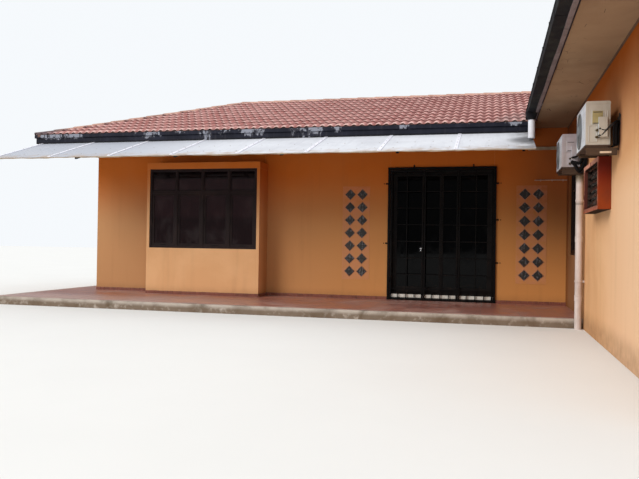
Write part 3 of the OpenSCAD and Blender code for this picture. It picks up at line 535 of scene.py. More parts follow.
# White plastic pipe: stained olive near its top, a grey collar halfway, bluish where the gutter's outlet is
def makePipe():
    look = {"collarAt": 1.866, "collarHalf": (0.022, 0.012)}
    coat = Coat("whitePipe", 0.45, 2.0, {
        "body": (208, 195, 190), "upper": (228, 230, 238), "stain": (146, 116, 92), "olive": (112, 98, 66),
        "collar": (128, 116, 108),
    }, specular=0.3)
    height = coat.axes[2]
    coat.over(between(height, 2.85, 2.95), "upper")
    coat.over(maths("MAXIMUM", coat.stain * 0.35, coat.streak * 0.4), "stain")
    coat.over(between(height, 2.14, 2.24) * between(height, 2.7, 2.6) * 0.75, "olive")
    coat.over(between(abs(height - look["collarAt"]), *look["collarHalf"]) * 0.7, "collar")
    coat.over(coat.edge(0.002) * 0.2, "upper")
    return coat.finish(coat.grain, 0.0004)


# White threshold: a pale face between dirty edges, dark where it meets the floor
def makeThreshold():
    coat = Coat("threshold", 0.35, 3.0,
                {"body": (222, 220, 212), "dirt": (150, 132, 112), "dark": (22, 17, 16)})
    coat.over(coat.stain * 0.4, "dirt")
    coat.over(coat.streak * 0.3, "dirt")
    coat.over(between(coat.axes[2], 0.210, 0.195), "dark")
    coat.edge(0.003)
    return coat.finish(coat.grain, 0.0004)


# Concrete window box: red-brown paint with a worn pink arris and painted highlights, nearly black painted shade
# beneath, and deep red inside from stains and painted shade
def makeBoxPaint():
    look = {"front": -0.144, "top": (2.20, 2.26)}
    coat = Coat("boxPaint", 0.8, 2.0, {
        "body": (136, 56, 20), "high": (112, 30, 15), "stainAndInnerShade": (84, 40, 32), "under": (24, 8, 5),
        "arris": (178, 116, 94), "paintedTopHighlight": (212, 150, 128),
    }, specular=0.15)
    x, y, height = coat.axes
    outward, _, upward = coat.facing()
    coat.over(between(height, 1.75, 2.2), "high")
    coat.over(coat.stain * 0.4, "stainAndInnerShade")
    # Painted shade on the faces inside the box
    within = between(y, -4.66, -4.64) * between(height, 1.69, 1.71) * between(height, 2.275, 2.255)
    coat.over(within, "stainAndInnerShade")
    # Painted shade, nearly black, on the faces turned down
    coat.over(between(upward, -0.5, -0.8), "under")
    # Worn pink arris, with a painted highlight on the faces turned out and on the top bar
    top = between(height, *look["top"])
    face = maths("MAXIMUM", coat.edge(0.011), between(outward, -0.5, -0.8) * 0.55 + top * 0.35)
    wornAndLit = between(x, look["front"] + 0.012, look["front"]) * face * between(coat.noise(9.0), 0.30, 0.50)
    coat.over(wornAndLit, coat.mixed(top, "arris", "paintedTopHighlight"))
    return coat.finish(coat.grain, 0.0012)


# Tinted panes: smooth dark glass, slightly wavy, with dust and rain marks; foot and head are heights below
# and above which the pane is painted dark, as painted shade of the room behind
def makeGlass(name, tint, dust, dusty, clear, shine, foot=None, head=None):
    coat = Coat(name, 0.04, 2.4, {"body": tint, "dust": dust, "black": (7, 5, 6)}, specular=shine, iOR=1.5)
    coat.shader.inputs["Transmission Weight"].default_value = clear
    soft = maths("MAXIMUM", coat.stain, coat.streak) * dusty
    coat.over(soft, "dust")
    if foot:
        height = coat.axes[2]
        coat.over(maths("MAXIMUM", between(height, *foot) * 0.55, between(height, *head)) * 0.85, "black")
    coat.plug("Roughness", soft * 1.2 + 0.02)
    return coat.finish(coat.noise(2.0, 1.0), 0.0008)


materials = {
    "concrete": makeConcrete(),
    "floor_tiles": makeFloorTiles(),
    "wall_paint": makeWallPaint(),
    "ceiling_paint": makePainted("ceilingPaint", (224, 220, 206), (190, 180, 160), (232, 228, 216), 0.85,
                                 wear=0.2),
    "soffit_board": makeSoffitBoard(),
    "fascia_paint": makeFasciaPaint(),
    "roof_tiles": makeRoofTiles(),
    "gutter_metal": makePainted("gutterMetal", (30, 29, 33), (60, 62, 56), (56, 53, 55), 0.8, 0.5, 0.3, 0.3,
                                specular=0.1),
    "white_pipe": makePipe(),
    "awning_board": makeAwningBoard(),
    "strip_metal": makePainted("stripMetal", (230, 230, 240), (196, 194, 196), (238, 238, 244), 0.5, 0.3, 0.1),
    "dark_steel": makePainted("darkSteel", (8, 7, 8), (36, 26, 21), (70, 64, 60), 0.5, 0.3, 0.15, 0.5, 3.0,
                              specular=0.1),
    "threshold": makeThreshold(),
    "door_timber": makePainted("doorTimber", (17, 14, 14), (44, 36, 32), (66, 56, 50), 0.5, 0.3, 0.2,
                               specular=0.12),
    "door_glass": makeGlass("doorGlass", (2, 2, 3), (26, 26, 28), 0.10, 0.15, 0.02),
    "window_timber": makePainted("windowTimber", (30, 18, 18), (58, 42, 38), (74, 54, 48), 0.5, 0.35, 0.2,
                                 specular=0.15),
    "window_glass": makeGlass("windowGlass", (46, 28, 31), (88, 66, 64), 0.16, 0.25, 0.18, (1.78, 1.66),
                              (2.46, 2.52)),
    "slate_tile": makeSlate(),
    "box_paint": makeBoxPaint(),
    "louvre_glass": makeGlass("louvreGlass", (56, 44, 38), (96, 92, 86), 0.35, 0.2, 0.15),
    "unit_casing": makeCasing(),
    "bracket_steel": makePainted("bracketSteel", (78, 60, 46), (52, 32, 22), (176, 150, 124), 0.55, 0.6, 0.4,
                                 0.7, specular=0.2),
    "lagging": makePainted("lagging", (17, 15, 16), (38, 32, 30), (40, 36, 34), 0.9, 0.4, 0.2, 0.3,
                           specular=0.1),
}
mortar = makeMortar()
for part in frame["record"]["subparts"]:
    solid = nodes[part["node"]]
    solid.data.materials.clear()
    solid.data.materials.append(materials[part["material_slot"]])
print("materials made:", len(bpy.data.materials))


# Mesh building blocks: a part is its points and its faces
def joined(parts):
    points, faces, start = [], [], 0
    for partPoints, partFaces in parts:
        points.append(np.asarray(partPoints, float).reshape(-1, 3))
        faces.extend([[index + start for index in face] for face in partFaces])
        start += len(points[-1])
    return np.concatenate(points), faces


# Turns a mesh's faces outwards, shades it, gives it its materials, hangs it on its body and hides the nodes it
# stands for
def placePiece(name, mesh, skins, body, replaces, smoothAngle, weld=0.0):
    made = bmesh.new()
    made.from_mesh(mesh)
    if weld:
        bmesh.ops.remove_doubles(made, verts=made.verts, dist=weld)
        bmesh.ops.dissolve_degenerate(made, edges=made.edges, dist=1e-6)
    bmesh.ops.recalc_face_normals(made, faces=made.faces)
    made.to_mesh(mesh)
    made.free()
    mesh.shade_smooth()
    mesh.set_sharp_from_angle(angle=math.radians(smoothAngle))
    piece = bpy.data.objects.new(name, mesh)
    scene.collection.objects.link(piece)
    for skin in skins:
        mesh.materials.append(skin)
    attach(piece, body)
    if replaces:
        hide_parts(*replaces)
    return piece


# One piece of one material, joined from its parts
def makePiece(name, parts, material, body="house", replaces=(), smoothAngle=35, bevel=0.0):
    points, faces = joined(parts)
    mesh = bpy.data.meshes.new(name)
    mesh.from_pydata(points.tolist(), [], faces)
    mesh.validate()
    piece = placePiece(name, mesh, [material], body, replaces, smoothAngle)
    if bevel:
        rounding = piece.modifiers.new("rounding", "BEVEL")
        rounding.width, rounding.segments, rounding.limit_method = bevel, 2, "ANGLE"


def boxPart(low, high):
    (x0, y0, z0), (x1, y1, z1) = low, high
    points = [(x, y, z) for z in (z0, z1) for y in (y0, y1) for x in (x0, x1)]
    return points, [[0, 2, 3, 1], [4, 5, 7, 6], [0, 1, 5, 4], [1, 3, 7, 5], [3, 2, 6, 7], [2, 0, 4, 6]]


# Closed surface through rings of points, one ring after another
def loftPart(rings):
    rings = np.asarray(rings, float)
    count, size = rings.shape[:2]
    faces = []
    for i in range(count - 1):
        for j in range(size):
            after = (j + 1) % size
            faces.append([i * size + j, i * size + after, (i + 1) * size + after, (i + 1) * size + j])
    faces.append(list(range(size))[::-1])
    faces.append([(count - 1) * size + j for j in range(size)])
    return rings.reshape(-1, 3), faces


def turnOf(sides):
    return np.linspace(0, 2 * math.pi, sides, endpoint=False)


# Round bar along a path; at each point the ring stands square to the path there
def tubePart(path, radius, sides=12):
    path, angles = np.asarray(path, float), turnOf(sides)
    heading = np.gradient(path, axis=0)
    heading /= np.linalg.norm(heading, axis=1)[:, None]
    first = np.cross(heading[0], (0, 0, 1) if abs(heading[0][2]) < 0.9 else (1, 0, 0))
    side = first / np.linalg.norm(first)
    rings = []
    for point, direction in zip(path, heading):
        side = side - direction * np.dot(side, direction)
        side /= np.linalg.norm(side)
        other = np.cross(direction, side)
        rings.append(point + radius * (np.cos(angles)[:, None] * side + np.sin(angles)[:, None] * other))
    return loftPart(rings)


# Turned part: heights and radii of a profile, swept round an axis
def turnedPart(centre, axis, profile, sides=24):
    spin = Vector(axis).to_track_quat("Z", "Y").to_matrix()
    angles = turnOf(sides)
    rings = [np.stack([r * np.cos(angles), r * np.sin(angles), np.full(sides, h)], axis=1) for h, r in profile]
    return loftPart([ring @ np.array(spin).T + np.array(centre) for ring in rings])


# Ring of round wire
def ringPart(centre, axis, radius, wire, sides=40, wireSides=8):
    spin = np.array(Vector(axis).to_track_quat("Z", "Y").to_matrix())
    turn, lap = turnOf(sides)[:, None], turnOf(wireSides)[None, :]
    out = radius + wire * np.cos(lap)
    points = np.stack([out * np.cos(turn), out * np.sin(turn), wire * np.sin(lap) + 0 * turn], axis=2)
    faces = []
    for i in range(sides):
        for j in range(wireSides):
            a, b = i * wireSides, ((i + 1) % sides) * wireSides
            k = (j + 1) % wireSides
            faces.append([a + j, b + j, b + k, a + k])
    return points.reshape(-1, 3) @ spin.T + np.array(centre), faces


# Roof tiles. A slope is swept row by row from under its eave to its top; each row crosses the rolls.
# Height over the batten plane: a cosine wave across the rolls, plus a ramp that drops at each course.
tile = {
    "rollPitch": 0.15,
    "samples": 8,
    "rollHeight": 0.030,
    "rollSink": 0.012,
    "gauge": 0.33,
    "step": 0.022,
    "noseLift": 0.25,
    "firstLift": 1.2,
    "skin": 0.014,
    "recess": 0.026,
    "valleyGap": 0.06,
    "mainUnder": 0.02,
}


def slopePart(eave, along, inward, span, depth, limits, under=house["roofThickness"]):
    pitch, first, rollPitch = house["pitch"], tile["firstLift"], tile["rollPitch"]
    start, end = math.floor(span[0] / rollPitch), math.ceil(span[1] / rollPitch)
    u = np.arange(start * tile["samples"], end * tile["samples"] + 1) * rollPitch / tile["samples"]
    rows = [(tile["recess"], 0.0, -1, 0.02), (tile["recess"], 1.0, first, 0.02), (0.0, 1.0, first, 0.02)]
    run = tile["gauge"] * math.cos(math.atan(pitch))
    for course in range(math.ceil(depth / run)):
        for share in (0.0, 0.06, 0.5, 0.999):
            v = (course + share) * run
            if v < depth:
                lift = 1 - share + (tile["noseLift"] if share == 0.06 else 0)
                rows.append((v, 1.0, lift * (1 if course else first), course + share))
    rows.append((depth, 1.0, 0.0, rows[-1][3]))
    rows.append((depth, 0.0, -1, rows[-1][3]))
    points, tileUv = [], []
    for index, (v, rolled, lift, course) in enumerate(rows):
        clipped = np.clip(u, *limits(v))
        wave = tile["rollHeight"] * (0.5 - 0.5 * np.cos(2 * math.pi * clipped / rollPitch)) - tile["rollSink"]
        z = eave[2] + v * pitch + rolled * wave
        if lift < 0:
            z -= under if index == 0 else house["roofThickness"]
        else:
            z += lift * tile["step"] - (tile["skin"] if index in (1, 2) else 0)
        plan = np.array(eave[:2]) + clipped[:, None] * np.array(along) + v * np.array(inward)
        points.append(np.column_stack([plan, z]))
        tileUv.append(np.column_stack([clipped / rollPitch, np.full(len(u), course)]))
    count, size = len(rows), len(u)
    i, j = np.meshgrid(np.arange(count), np.arange(size - 1), indexing="ij")
    k = (i + 1) % count
    quads = np.stack([i * size + j, i * size + j + 1, k * size + j + 1, k * size + j], axis=2).reshape(-1, 4)
    ends = [[row * size for row in range(count)], [row * size + size - 1 for row in range(count)][::-1]]
    # The row under the eave is mortar, the rest is clay
    materialIndex = [1] * (size - 1) + [0] * ((count - 1) * (size - 1) + 2)
    return np.concatenate(points), quads.tolist() + ends, np.concatenate(tileUv), materialIndex


# The tiles of one wing; their UV layer counts rolls along the eave and courses up the slope
def makeTiles(name, slopes, replaced):
    points, faces = joined([slope[:2] for slope in slopes])
    tileUv = np.concatenate([slope[2] for slope in slopes])
    mesh = bpy.data.meshes.new(name)
    mesh.from_pydata(points.tolist(), [], faces)
    layer = mesh.uv_layers.new(name="tile")
    corners = np.zeros(len(mesh.loops), np.int32)
    mesh.loops.foreach_get("vertex_index", corners)
    layer.data.foreach_set("uv", tileUv[corners].astype(np.float32).ravel())
    mesh.polygons.foreach_set("material_index", np.array(sum([slope[3] for slope in slopes], []), np.int32))
    placePiece(name, mesh, [materials["roof_tiles"], mortar], "house", [replaced], 50, 2e-5)
    mesh.calc_loop_triangles()
    print(name, len(mesh.loop_triangles), "triangles")


# Eave corners and ridge ends, from the solids' own boxes
mainLow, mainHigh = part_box("main_roof")
wingLow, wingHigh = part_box("wing_roof")
mainMid, wingMid = (mainLow.y + mainHigh.y) / 2, (wingLow.x + wingHigh.x) / 2
mainDepth, wingDepth = mainMid - mainLow.y, wingMid - wingLow.x
mainEdgeZ = mainHigh.z - mainDepth * house["pitch"]
wingEdgeZ = wingHigh.z - wingDepth * house["pitch"]
valleyShift = (wingEdgeZ - mainEdgeZ) / house["pitch"]


# A slope's limits at a distance v up from its eave: the main wing's long slopes end in a hip on the left, and
# on the right at the wing's eave and its valley; the court slope of the wing is cut by both valleys
def mainLimits(v):
    return mainLow.x + v, max(wingLow.x, wingLow.x + v - valleyShift - tile["valleyGap"])


def courtFrontLimits(v):
    return wingLow.y + v, min(mainLow.y + valleyShift + v - tile["valleyGap"], mainMid)


def courtRearLimits(v):
    return max(mainHigh.y - valleyShift - v + tile["valleyGap"], mainMid), wingHigh.y - v


def hipLimits(low, high):
    return lambda v: (low + v, high - v)


mainWide, mainLong = (mainLow.x, mainHigh.x), (mainLow.y, mainHigh.y)
wingWide, wingLong = (wingLow.x, wingHigh.x), (wingLow.y, wingHigh.y)
under, endLimits = tile["mainUnder"], hipLimits(*mainLong)
makeTiles("mainTiles", [
    slopePart((0, mainLow.y, mainEdgeZ), (1, 0), (0, 1), mainWide, mainDepth, mainLimits, under),
    slopePart((0, mainHigh.y, mainEdgeZ), (1, 0), (0, -1), mainWide, mainDepth, mainLimits, under),
    slopePart((mainLow.x, 0, mainEdgeZ), (0, 1), (1, 0), mainLong, mainDepth, endLimits, under),
], "main_roof")
makeTiles("wingTiles", [
    slopePart((wingLow.x, 0, wingEdgeZ), (0, 1), (1, 0), (wingLow.y, mainMid), wingDepth, courtFrontLimits),
    slopePart((wingLow.x, 0, wingEdgeZ), (0, 1), (1, 0), (mainMid, wingHigh.y), wingDepth, courtRearLimits),
    slopePart((wingHigh.x, 0, wingEdgeZ), (0, 1), (-1, 0), wingLong, wingDepth, hipLimits(*wingLong)),
    slopePart((0, wingLow.y, wingEdgeZ), (1, 0), (0, 1), wingWide, wingDepth, hipLimits(*wingWide)),
    slopePart((0, wingHigh.y, wingEdgeZ), (1, 0), (0, -1), wingWide, wingDepth, hipLimits(*wingWide)),
], "wing_roof")

# Round caps on ridges and hips: each a tapered half barrel that laps over the one below it, bedded in mortar
cap = {
    "radius": 0.100,
    "taper": 0.007,
    "rise": 0.042,
    "exposure": 0.40,
    "lap": 0.05,
    "spread": 1.40,
    "sides": 12,
    # Along a cap: share of its length, lift and growth in radius
    "stations": ((0.0, 0.001, 0.0), (0.05, 0.002, 0.002), (0.5, 0.0, 0), (1.0, -0.002, 0)),
    "beddingStep": 0.03,
    # Across half the bedding: distance from its middle, how far that wanders, and drop
    "beddingHalf": ((-0.104, 1, -0.060), (-0.098, 1, -0.026), (-0.07, 0, -0.004)),
    "beddingFoot": -0.10,
}
mainEnd = (mainLow.x + mainDepth, mainMid, mainHigh.z)
joinEnd = (wingLow.x + mainDepth - valleyShift, mainMid, mainHigh.z)
frontEnd = (wingMid, wingLow.y + wingDepth, wingHigh.z)
rearEnd = (wingMid, wingHigh.y - wingDepth, wingHigh.z)
capLines = [((mainLow.x, y, mainEdgeZ), mainEnd) for y in mainLong]
capLines += [(mainEnd, joinEnd), (frontEnd, rearEnd)]
for x in wingWide:
    capLines += [((x, wingLow.y, wingEdgeZ), frontEnd), ((x, wingHigh.y, wingEdgeZ), rearEnd)]


# A line's start, its directions ahead, sideways and up, and its length
def capFrame(p, q):
    p, q = Vector(p), Vector(q)
    ahead = (q - p).normalized()
    side = ahead.cross(Vector((0, 0, 1))).normalized()
    return p, ahead, side, side.cross(ahead), (q - p).length


def capParts(p, q):
    start, ahead, side, up, length = capFrame(p, q)
    count = max(1, round(length / cap["exposure"]))
    each = length / count
    angles = np.linspace(-cap["spread"], cap["spread"], cap["sides"] + 1)
    outline = np.sin(angles)[:, None] * np.array(side) + np.cos(angles)[:, None] * np.array(up)
    parts = []
    for i in range(count):
        rings = []
        for share, lift, grow in cap["stations"]:
            radius = cap["radius"] - cap["taper"] * share + grow
            reach = length if i == count - 1 and share == 1.0 else i * each + share * (each + cap["lap"])
            centre = np.array(start + ahead * reach + up * (cap["rise"] - cap["radius"] + lift))
            rings.append(centre + radius * outline)
        parts.append(loftPart(rings))
    return parts


# The bedding's edge wanders: a sum of three sine waves along its length
def beddingPart(p, q):
    start, ahead, side, up, length = capFrame(p, q)
    rings = []
    for s in np.linspace(0.02, length, max(2, int(length / cap["beddingStep"]))):
        wander = 0.006 * (math.sin(s * 31) + math.sin(s * 53 + 1) + math.sin(s * 17 + 2))
        centre = np.array(start + ahead * s)
        outline = [(w - wander * moved, h) for w, moved, h in cap["beddingHalf"]]
        outline += [(-w - wander * moved, h) for w, moved, h in cap["beddingHalf"][::-1]]
        outline.append((0.0, cap["beddingFoot"]))
        rings.append([centre + w * np.array(side) + h * np.array(up) for w, h in outline])
    return loftPart(rings)


# Points past the roof's plan are moved back to its edge
def keepInPlan(parts, low, high):
    kept = []
    for points, faces in parts:
        kept.append((np.clip(points, (low.x, low.y, -np.inf), (high.x, high.y, np.inf)), faces))
    return kept


caps, bedding = [], []
for p, q in capLines:
    low, high = (mainLow, mainHigh) if q in (mainEnd, joinEnd) else (wingLow, wingHigh)
    caps += keepInPlan(capParts(p, q), low, high)
    bedding += keepInPlan([beddingPart(p, q)], low, high)
makePiece("hipCaps", caps, makeCapClay(), replaces=["ridge_caps"])
makePiece("capBedding", bedding, mortar)

# Lead valleys: a shallow trough with two raised welts, laid between the cut tiles
valley = {
    # Across the trough: distance from its middle and lift over the slopes
    "profile": ((-0.13, 0.0), (-0.052, 0.0), (-0.046, 0.012), (-0.038, 0.0), (0, -0.002), (0.038, 0.0),
                (0.046, 0.012), (0.052, 0.0), (0.13, 0.0)),
    "thick": 0.012,
    "short": 0.12,
    "stations": 90,
}


def valleyPart(sign):
    foot = (wingLow.x, mainMid - sign * (mainMid - mainLow.y - valleyShift), wingEdgeZ)
    start, ahead, side, _, length = capFrame(foot, joinEnd)
    rise = house["pitch"] / math.sqrt(2)
    rings = []
    for s in np.linspace(0, length - valley["short"], valley["stations"]):
        centre = np.array(start + ahead * s)
        dent = 0.002 * math.sin(s * 23)
        top = [(w, abs(w) * rise + lift + dent) for w, lift in valley["profile"]]
        outline = top + [(w, h - valley["thick"]) for w, h in top[::-1]]
        half = valley["thick"] / 2
        rings.append([centre + w * np.array(side) + np.array((0, 0, h - half)) for w, h in outline])
    return loftPart(rings)


lead = makePainted("lead", (92, 92, 98), (60, 54, 54), (140, 140, 144), 0.5, 0.5, 0.4, 0.3, 3.0)
makePiece("valleyFlashing", [valleyPart(1), valleyPart(-1)], lead, smoothAngle=25)
print("roof covered")


# Small round-headed fixings: washer, dome and a flat back
def screwPart(place, axis, size=1.0, sides=10):
    profile = [(0.0, 0.010), (0.0018, 0.010), (0.002, 0.0068), (0.005, 0.0052), (0.0062, 0.0008)]
    return turnedPart(place, axis, [(h * size, r * size) for h, r in profile], sides)


# Hexagon bolt head with a washer
def boltPart(place, axis, size=1.0):
    washer = [(0.0, 0.011 * size), (0.002 * size, 0.011 * size)]
    head = [(0.001, 0.0078 * size), (0.0075 * size, 0.0078 * size), (0.009 * size, 0.0060 * size)]
    return [turnedPart(place, axis, washer, 14), turnedPart(place, axis, head, 6)]


# Four bars round an opening in an upright plane, from its two corners and the bars' width
def framePart(low, high, width):
    (x0, y0, z0), (x1, y1, z1) = low, high
    acrossY = abs(x1 - x0) < abs(y1 - y0)
    parts = [boxPart((x0, y0, z0), (x1, y1, z0 + width)), boxPart((x0, y0, z1 - width), (x1, y1, z1))]
    near = (x1, y0 + width) if acrossY else (x0 + width, y1)
    far = (x0, y1 - width) if acrossY else (x1 - width, y0)
    parts.append(boxPart((x0, y0, z0 + width), (*near, z1 - width)))
    parts.append(boxPart((*far, z0 + width), (x1, y1, z1 - width)))
    return parts


# Smooth path through a few points: each new point is a Catmull-Rom blend of the four round it
def smoothPath(points, steps=8):
    points = np.asarray(points, float)
    padded = np.concatenate([[2 * points[0] - points[1]], points, [2 * points[-1] - points[-2]]])
    share = np.linspace(0, 1, steps, endpoint=False)[:, None]
    path = []
    for a, b, c, d in zip(padded, padded[1:], padded[2:], padded[3:]):
        path.append(0.5 * (2 * b + (c - a) * share + (2 * a - 5 * b + 4 * c - d) * share ** 2
                           + (3 * b - a - 3 * c + d) * share ** 3))
    return np.concatenate(path + [points[-1:]])


def asArrays(*values):
    return (np.array(value, float) for value in values)


# Skirting: one row of small tiles along the foot of the walls on the verandah; their tops wander by a sine
skirting = {
    "tile": 0.10,
    "height": 0.058,
    "thick": 0.009,
    "joint": 0.005,
    "sink": 0.003,
    "foot": 0.004,
    "wander": 0.0012,
    "pastLug": 0.05,
}
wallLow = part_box("front_wall_left")[0]
bayLow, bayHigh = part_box("bay_side_walls")
postLow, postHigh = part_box("grille_left_post")[0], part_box("grille_right_post")[1]


# Tiles of equal length from one corner to the next
def skirtingRun(start, end, outward):
    start, end, outward = asArrays(start, end, outward)
    count = max(1, round(np.linalg.norm(end - start) / skirting["tile"]))
    each = (end - start) / count
    trim = each / np.linalg.norm(each) * skirting["joint"] / 2
    low = house["floorHeight"] - skirting["foot"]
    parts = []
    for i in range(count):
        a = start + each * i + trim - outward * skirting["sink"]
        b = start + each * (i + 1) - trim + outward * skirting["thick"]
        top = house["floorHeight"] + skirting["height"] + skirting["wander"] * math.sin(i * 2.3 + start[0])
        parts.append(boxPart((*np.minimum(a, b), low), (*np.maximum(a, b), top)))
    return parts


runs = [
    ((wallLow.x, 0), (bayLow.x, 0), (0, -1)),
    ((bayLow.x, 0), (bayLow.x, bayLow.y), (-1, 0)),
    ((bayLow.x, bayLow.y), (bayHigh.x, bayLow.y), (0, -1)),
    ((bayHigh.x, bayLow.y), (bayHigh.x, 0), (1, 0)),
    ((bayHigh.x, 0), (postLow.x + skirting["pastLug"], 0), (0, -1)),
    ((postHigh.x - skirting["pastLug"], 0), (0, 0), (0, -1)),
    ((wallLow.x, 0), (wallLow.x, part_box("main_rear_wall")[1].y), (-1, 0)),
]
skirtingTile = makePainted("skirtingTile", (132, 78, 64), (78, 48, 40), (176, 126, 112), 0.35, 0.5, 0.3, 0.6,
                           4.0)
skirtingParts = [part for run in runs for part in skirtingRun(*run)]
makePiece("skirtingTiles", skirtingParts, skirtingTile, bevel=0.002)

# Awning: screws with washers down the strips and along the purlins, and a worn batten under the front edge
sheetLow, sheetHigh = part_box("awning_sheets")
awning = {
    "firstStrip": -1.91,
    "sheetWidth": 1.22,
    "stripThickness": 0.010,
    "sheetThickness": 0.008,
    "endStrip": 0.03,
    "screwRows": 6,
    "screwMargins": (0.05, 0.06),
    "screwSink": 0.0005,
    "purlinY": (-2.08, -1.595),
    "purlinScrews": 0.305,
    "purlinMargin": 0.2,
    "clearOfStrip": 0.05,
    "lipDepth": 0.020,
    "lipDrop": 0.017,
    "lipEnd": 0.004,
    "lipSet": 0.003,
    "lipStations": 240,
}
fall = (sheetHigh.z - sheetLow.z - awning["sheetThickness"]) / (sheetHigh.y - sheetLow.y)
awningUp = (0, -math.sin(math.atan(fall)), math.cos(math.atan(fall)))


def awningTop(y):
    return sheetHigh.z + (y - sheetHigh.y) * fall


strips = [awning["firstStrip"] - awning["sheetWidth"] * i for i in range(7)]
strips.append(sheetLow.x + awning["endStrip"])
nearMargin, farMargin = awning["screwMargins"]
screws = []
for x in strips:
    for y in np.linspace(sheetLow.y + nearMargin, sheetHigh.y - farMargin, awning["screwRows"]):
        place = (x, y, awningTop(y) + awning["stripThickness"] - awning["screwSink"])
        screws.append(screwPart(place, awningUp))
margin = awning["purlinMargin"]
for y in awning["purlinY"]:
    for x in np.arange(sheetLow.x + margin, sheetHigh.x - margin, awning["purlinScrews"]):
        if min(abs(x - strip) for strip in strips) > awning["clearOfStrip"]:
            screws.append(screwPart((x, y, awningTop(y) - awning["screwSink"]), awningUp))
screwMetal = makePainted("screwMetal", (150, 140, 130), (112, 74, 50), (200, 196, 190), 0.4, 0.6, 0.2, 0.5,
                         8.0, metallic=0.6)
makePiece("awningScrews", screws, screwMetal, smoothAngle=50)


# The batten's lower edge wanders: three sines along its length plus a step at every sheet
def awningLip():
    front, back = sheetLow.y + awning["lipSet"], sheetLow.y + awning["lipDepth"]
    under = awningTop(sheetLow.y) - awning["sheetThickness"] + 0.001
    rings = []
    for x in np.linspace(sheetLow.x + awning["lipEnd"], sheetHigh.x - awning["lipEnd"], awning["lipStations"]):
        sheetNumber = math.floor((x - awning["firstStrip"]) / awning["sheetWidth"])
        wander = 0.0035 * (math.sin(x * 2.1) + math.sin(x * 5.3 + 1) + 0.7 * math.sin(x * 17 + 2))
        drop = awning["lipDrop"] + wander + 0.003 * math.sin(sheetNumber * 2.4)
        rings.append([(x, front, under), (x, back, under + awning["lipDepth"] * fall), (x, back, under - drop),
                      (x, front, under - drop * 0.85)])
    return loftPart(rings)


agedTimber = makePainted("agedTimber", (176, 158, 134), (104, 80, 60), (200, 184, 162), 0.8, 0.6, 0.4, 0.6,
                         3.0, 0.0012)
makePiece("awningLip", [awningLip()], agedTimber, bevel=0.0015)
print("skirting and awning details made")

# Corner under the eaves: a closing batten with its nails, and a conduit on saddles that turns into the wall
corner = {
    "battenLow": (-0.70, -0.024, 3.012),
    "battenHigh": (-0.004, 0.002, 3.072),
    "nails": (-0.64, -0.42, -0.20, -0.06),
    "conduit": [(-0.57, 0.004, 2.452), (-0.57, -0.016, 2.452), (-0.55, -0.020, 2.452), (-0.30, -0.020, 2.455),
                (-0.05, -0.020, 2.452), (-0.010, -0.020, 2.452)],
    "conduitRadius": 0.0095,
    "saddles": (-0.47, -0.27, -0.08),
    # Across a saddle: y and height
    "saddle": ((0.001, 2.434), (-0.031, 2.440), (-0.033, 2.466), (0.001, 2.472)),
    "saddlePin": ((0.001, 2.432), (-0.008, 2.436)),
}
batten = [boxPart(corner["battenLow"], corner["battenHigh"])]
nails = [screwPart((x, corner["battenLow"][1] + 0.0005, 3.042), (0, -1, 0), 0.8) for x in corner["nails"]]
makePiece("closingBatten", batten, agedTimber, bevel=0.003)
makePiece("battenNails", nails, screwMetal, smoothAngle=50)
conduitPlastic = makePainted("conduitPlastic", (196, 158, 140), (130, 92, 72), (214, 190, 176), 0.5, 0.5, 0.3)
conduit = [tubePart(smoothPath(corner["conduit"], 6), corner["conduitRadius"], 12)]
for x in corner["saddles"]:
    conduit.append(tubePart([(x, *spot) for spot in corner["saddlePin"]], 0.003, 8))
    conduit.append(loftPart([[(x + dx, *spot) for spot in corner["saddle"]] for dx in (-0.007, 0.007)]))
makePiece("wallConduit", conduit, conduitPlastic, bevel=0.0015)


# Bead where the soffits meet the walls: a hollow quarter round
def beadPart(start, end, outward):
    start, end, outward = asArrays(start, end, outward)
    down = np.array((0, 0, -1.0))
    outline = [(-0.002, -0.002), (0.018, -0.002), (0.017, 0.006), (0.011, 0.013), (0.004, 0.017),
               (-0.002, 0.018)]
    return loftPart([[point + out * outward + drop * down for out, drop in outline] for point in (start, end)])


left, rear, outer, front = (house[side] for side in ("left", "rear", "outer", "front"))
mainZ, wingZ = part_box("main_soffit")[0].z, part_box("wing_soffit")[0].z
beads = [
    beadPart((wallLow.x, 0, mainZ), (-0.66, 0, mainZ), (0, -1, 0)),
    beadPart((0, 0, wingZ), (0, front, wingZ), (-1, 0, 0)),
    beadPart((0, front, wingZ), (outer, front, wingZ), (0, -1, 0)),
    beadPart((outer, front, wingZ), (outer, rear, wingZ), (1, 0, 0)),
    beadPart((left, rear, mainZ), (0, rear, mainZ), (0, 1, 0)),
    beadPart((left, 0, mainZ), (left, rear, mainZ), (-1, 0, 0)),
]
beadPaint = makePainted("beadPaint", (92, 66, 46), (58, 38, 28), (112, 86, 64), 0.8, 0.5, 0.3)
makePiece("soffitBeads", beads, beadPaint, smoothAngle=50)
print("corner and soffit details made")

# Box gutter: rolled front lip, straps over the top, joint bands and a hopper above the outlet pipe
gutterLow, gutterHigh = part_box("wing_gutter")
gutter = {
    "lip": 0.007,
    "straps": np.arange(gutterLow.y + 0.45, gutterHigh.y - 0.1, 0.9),
    "strapWidth": 0.025,
    "bands": np.arange(gutterLow.y + 2.6, gutterHigh.y - 0.6, 2.4),
    "bandWidth": 0.05,
    "skin": 0.0025,
    # Down the hopper: height against the gutter's bottom, and half its width
    "hopper": ((0.001, 0.088), (-0.02, 0.088), (-0.09, 0.066), (-0.118, 0.062)),
    "round": 0.060,
    "hopperSides": 32,
}
gutterX, gutterEndX, gutterZ, gutterTop = gutterLow.x, gutterHigh.x, gutterLow.z, gutterHigh.z
lipLine = [(gutterX - 0.001, y, gutterTop - 0.006) for y in (gutterLow.y + 0.002, gutterHigh.y - 0.002)]
details = [tubePart(lipLine, gutter["lip"], 12)]
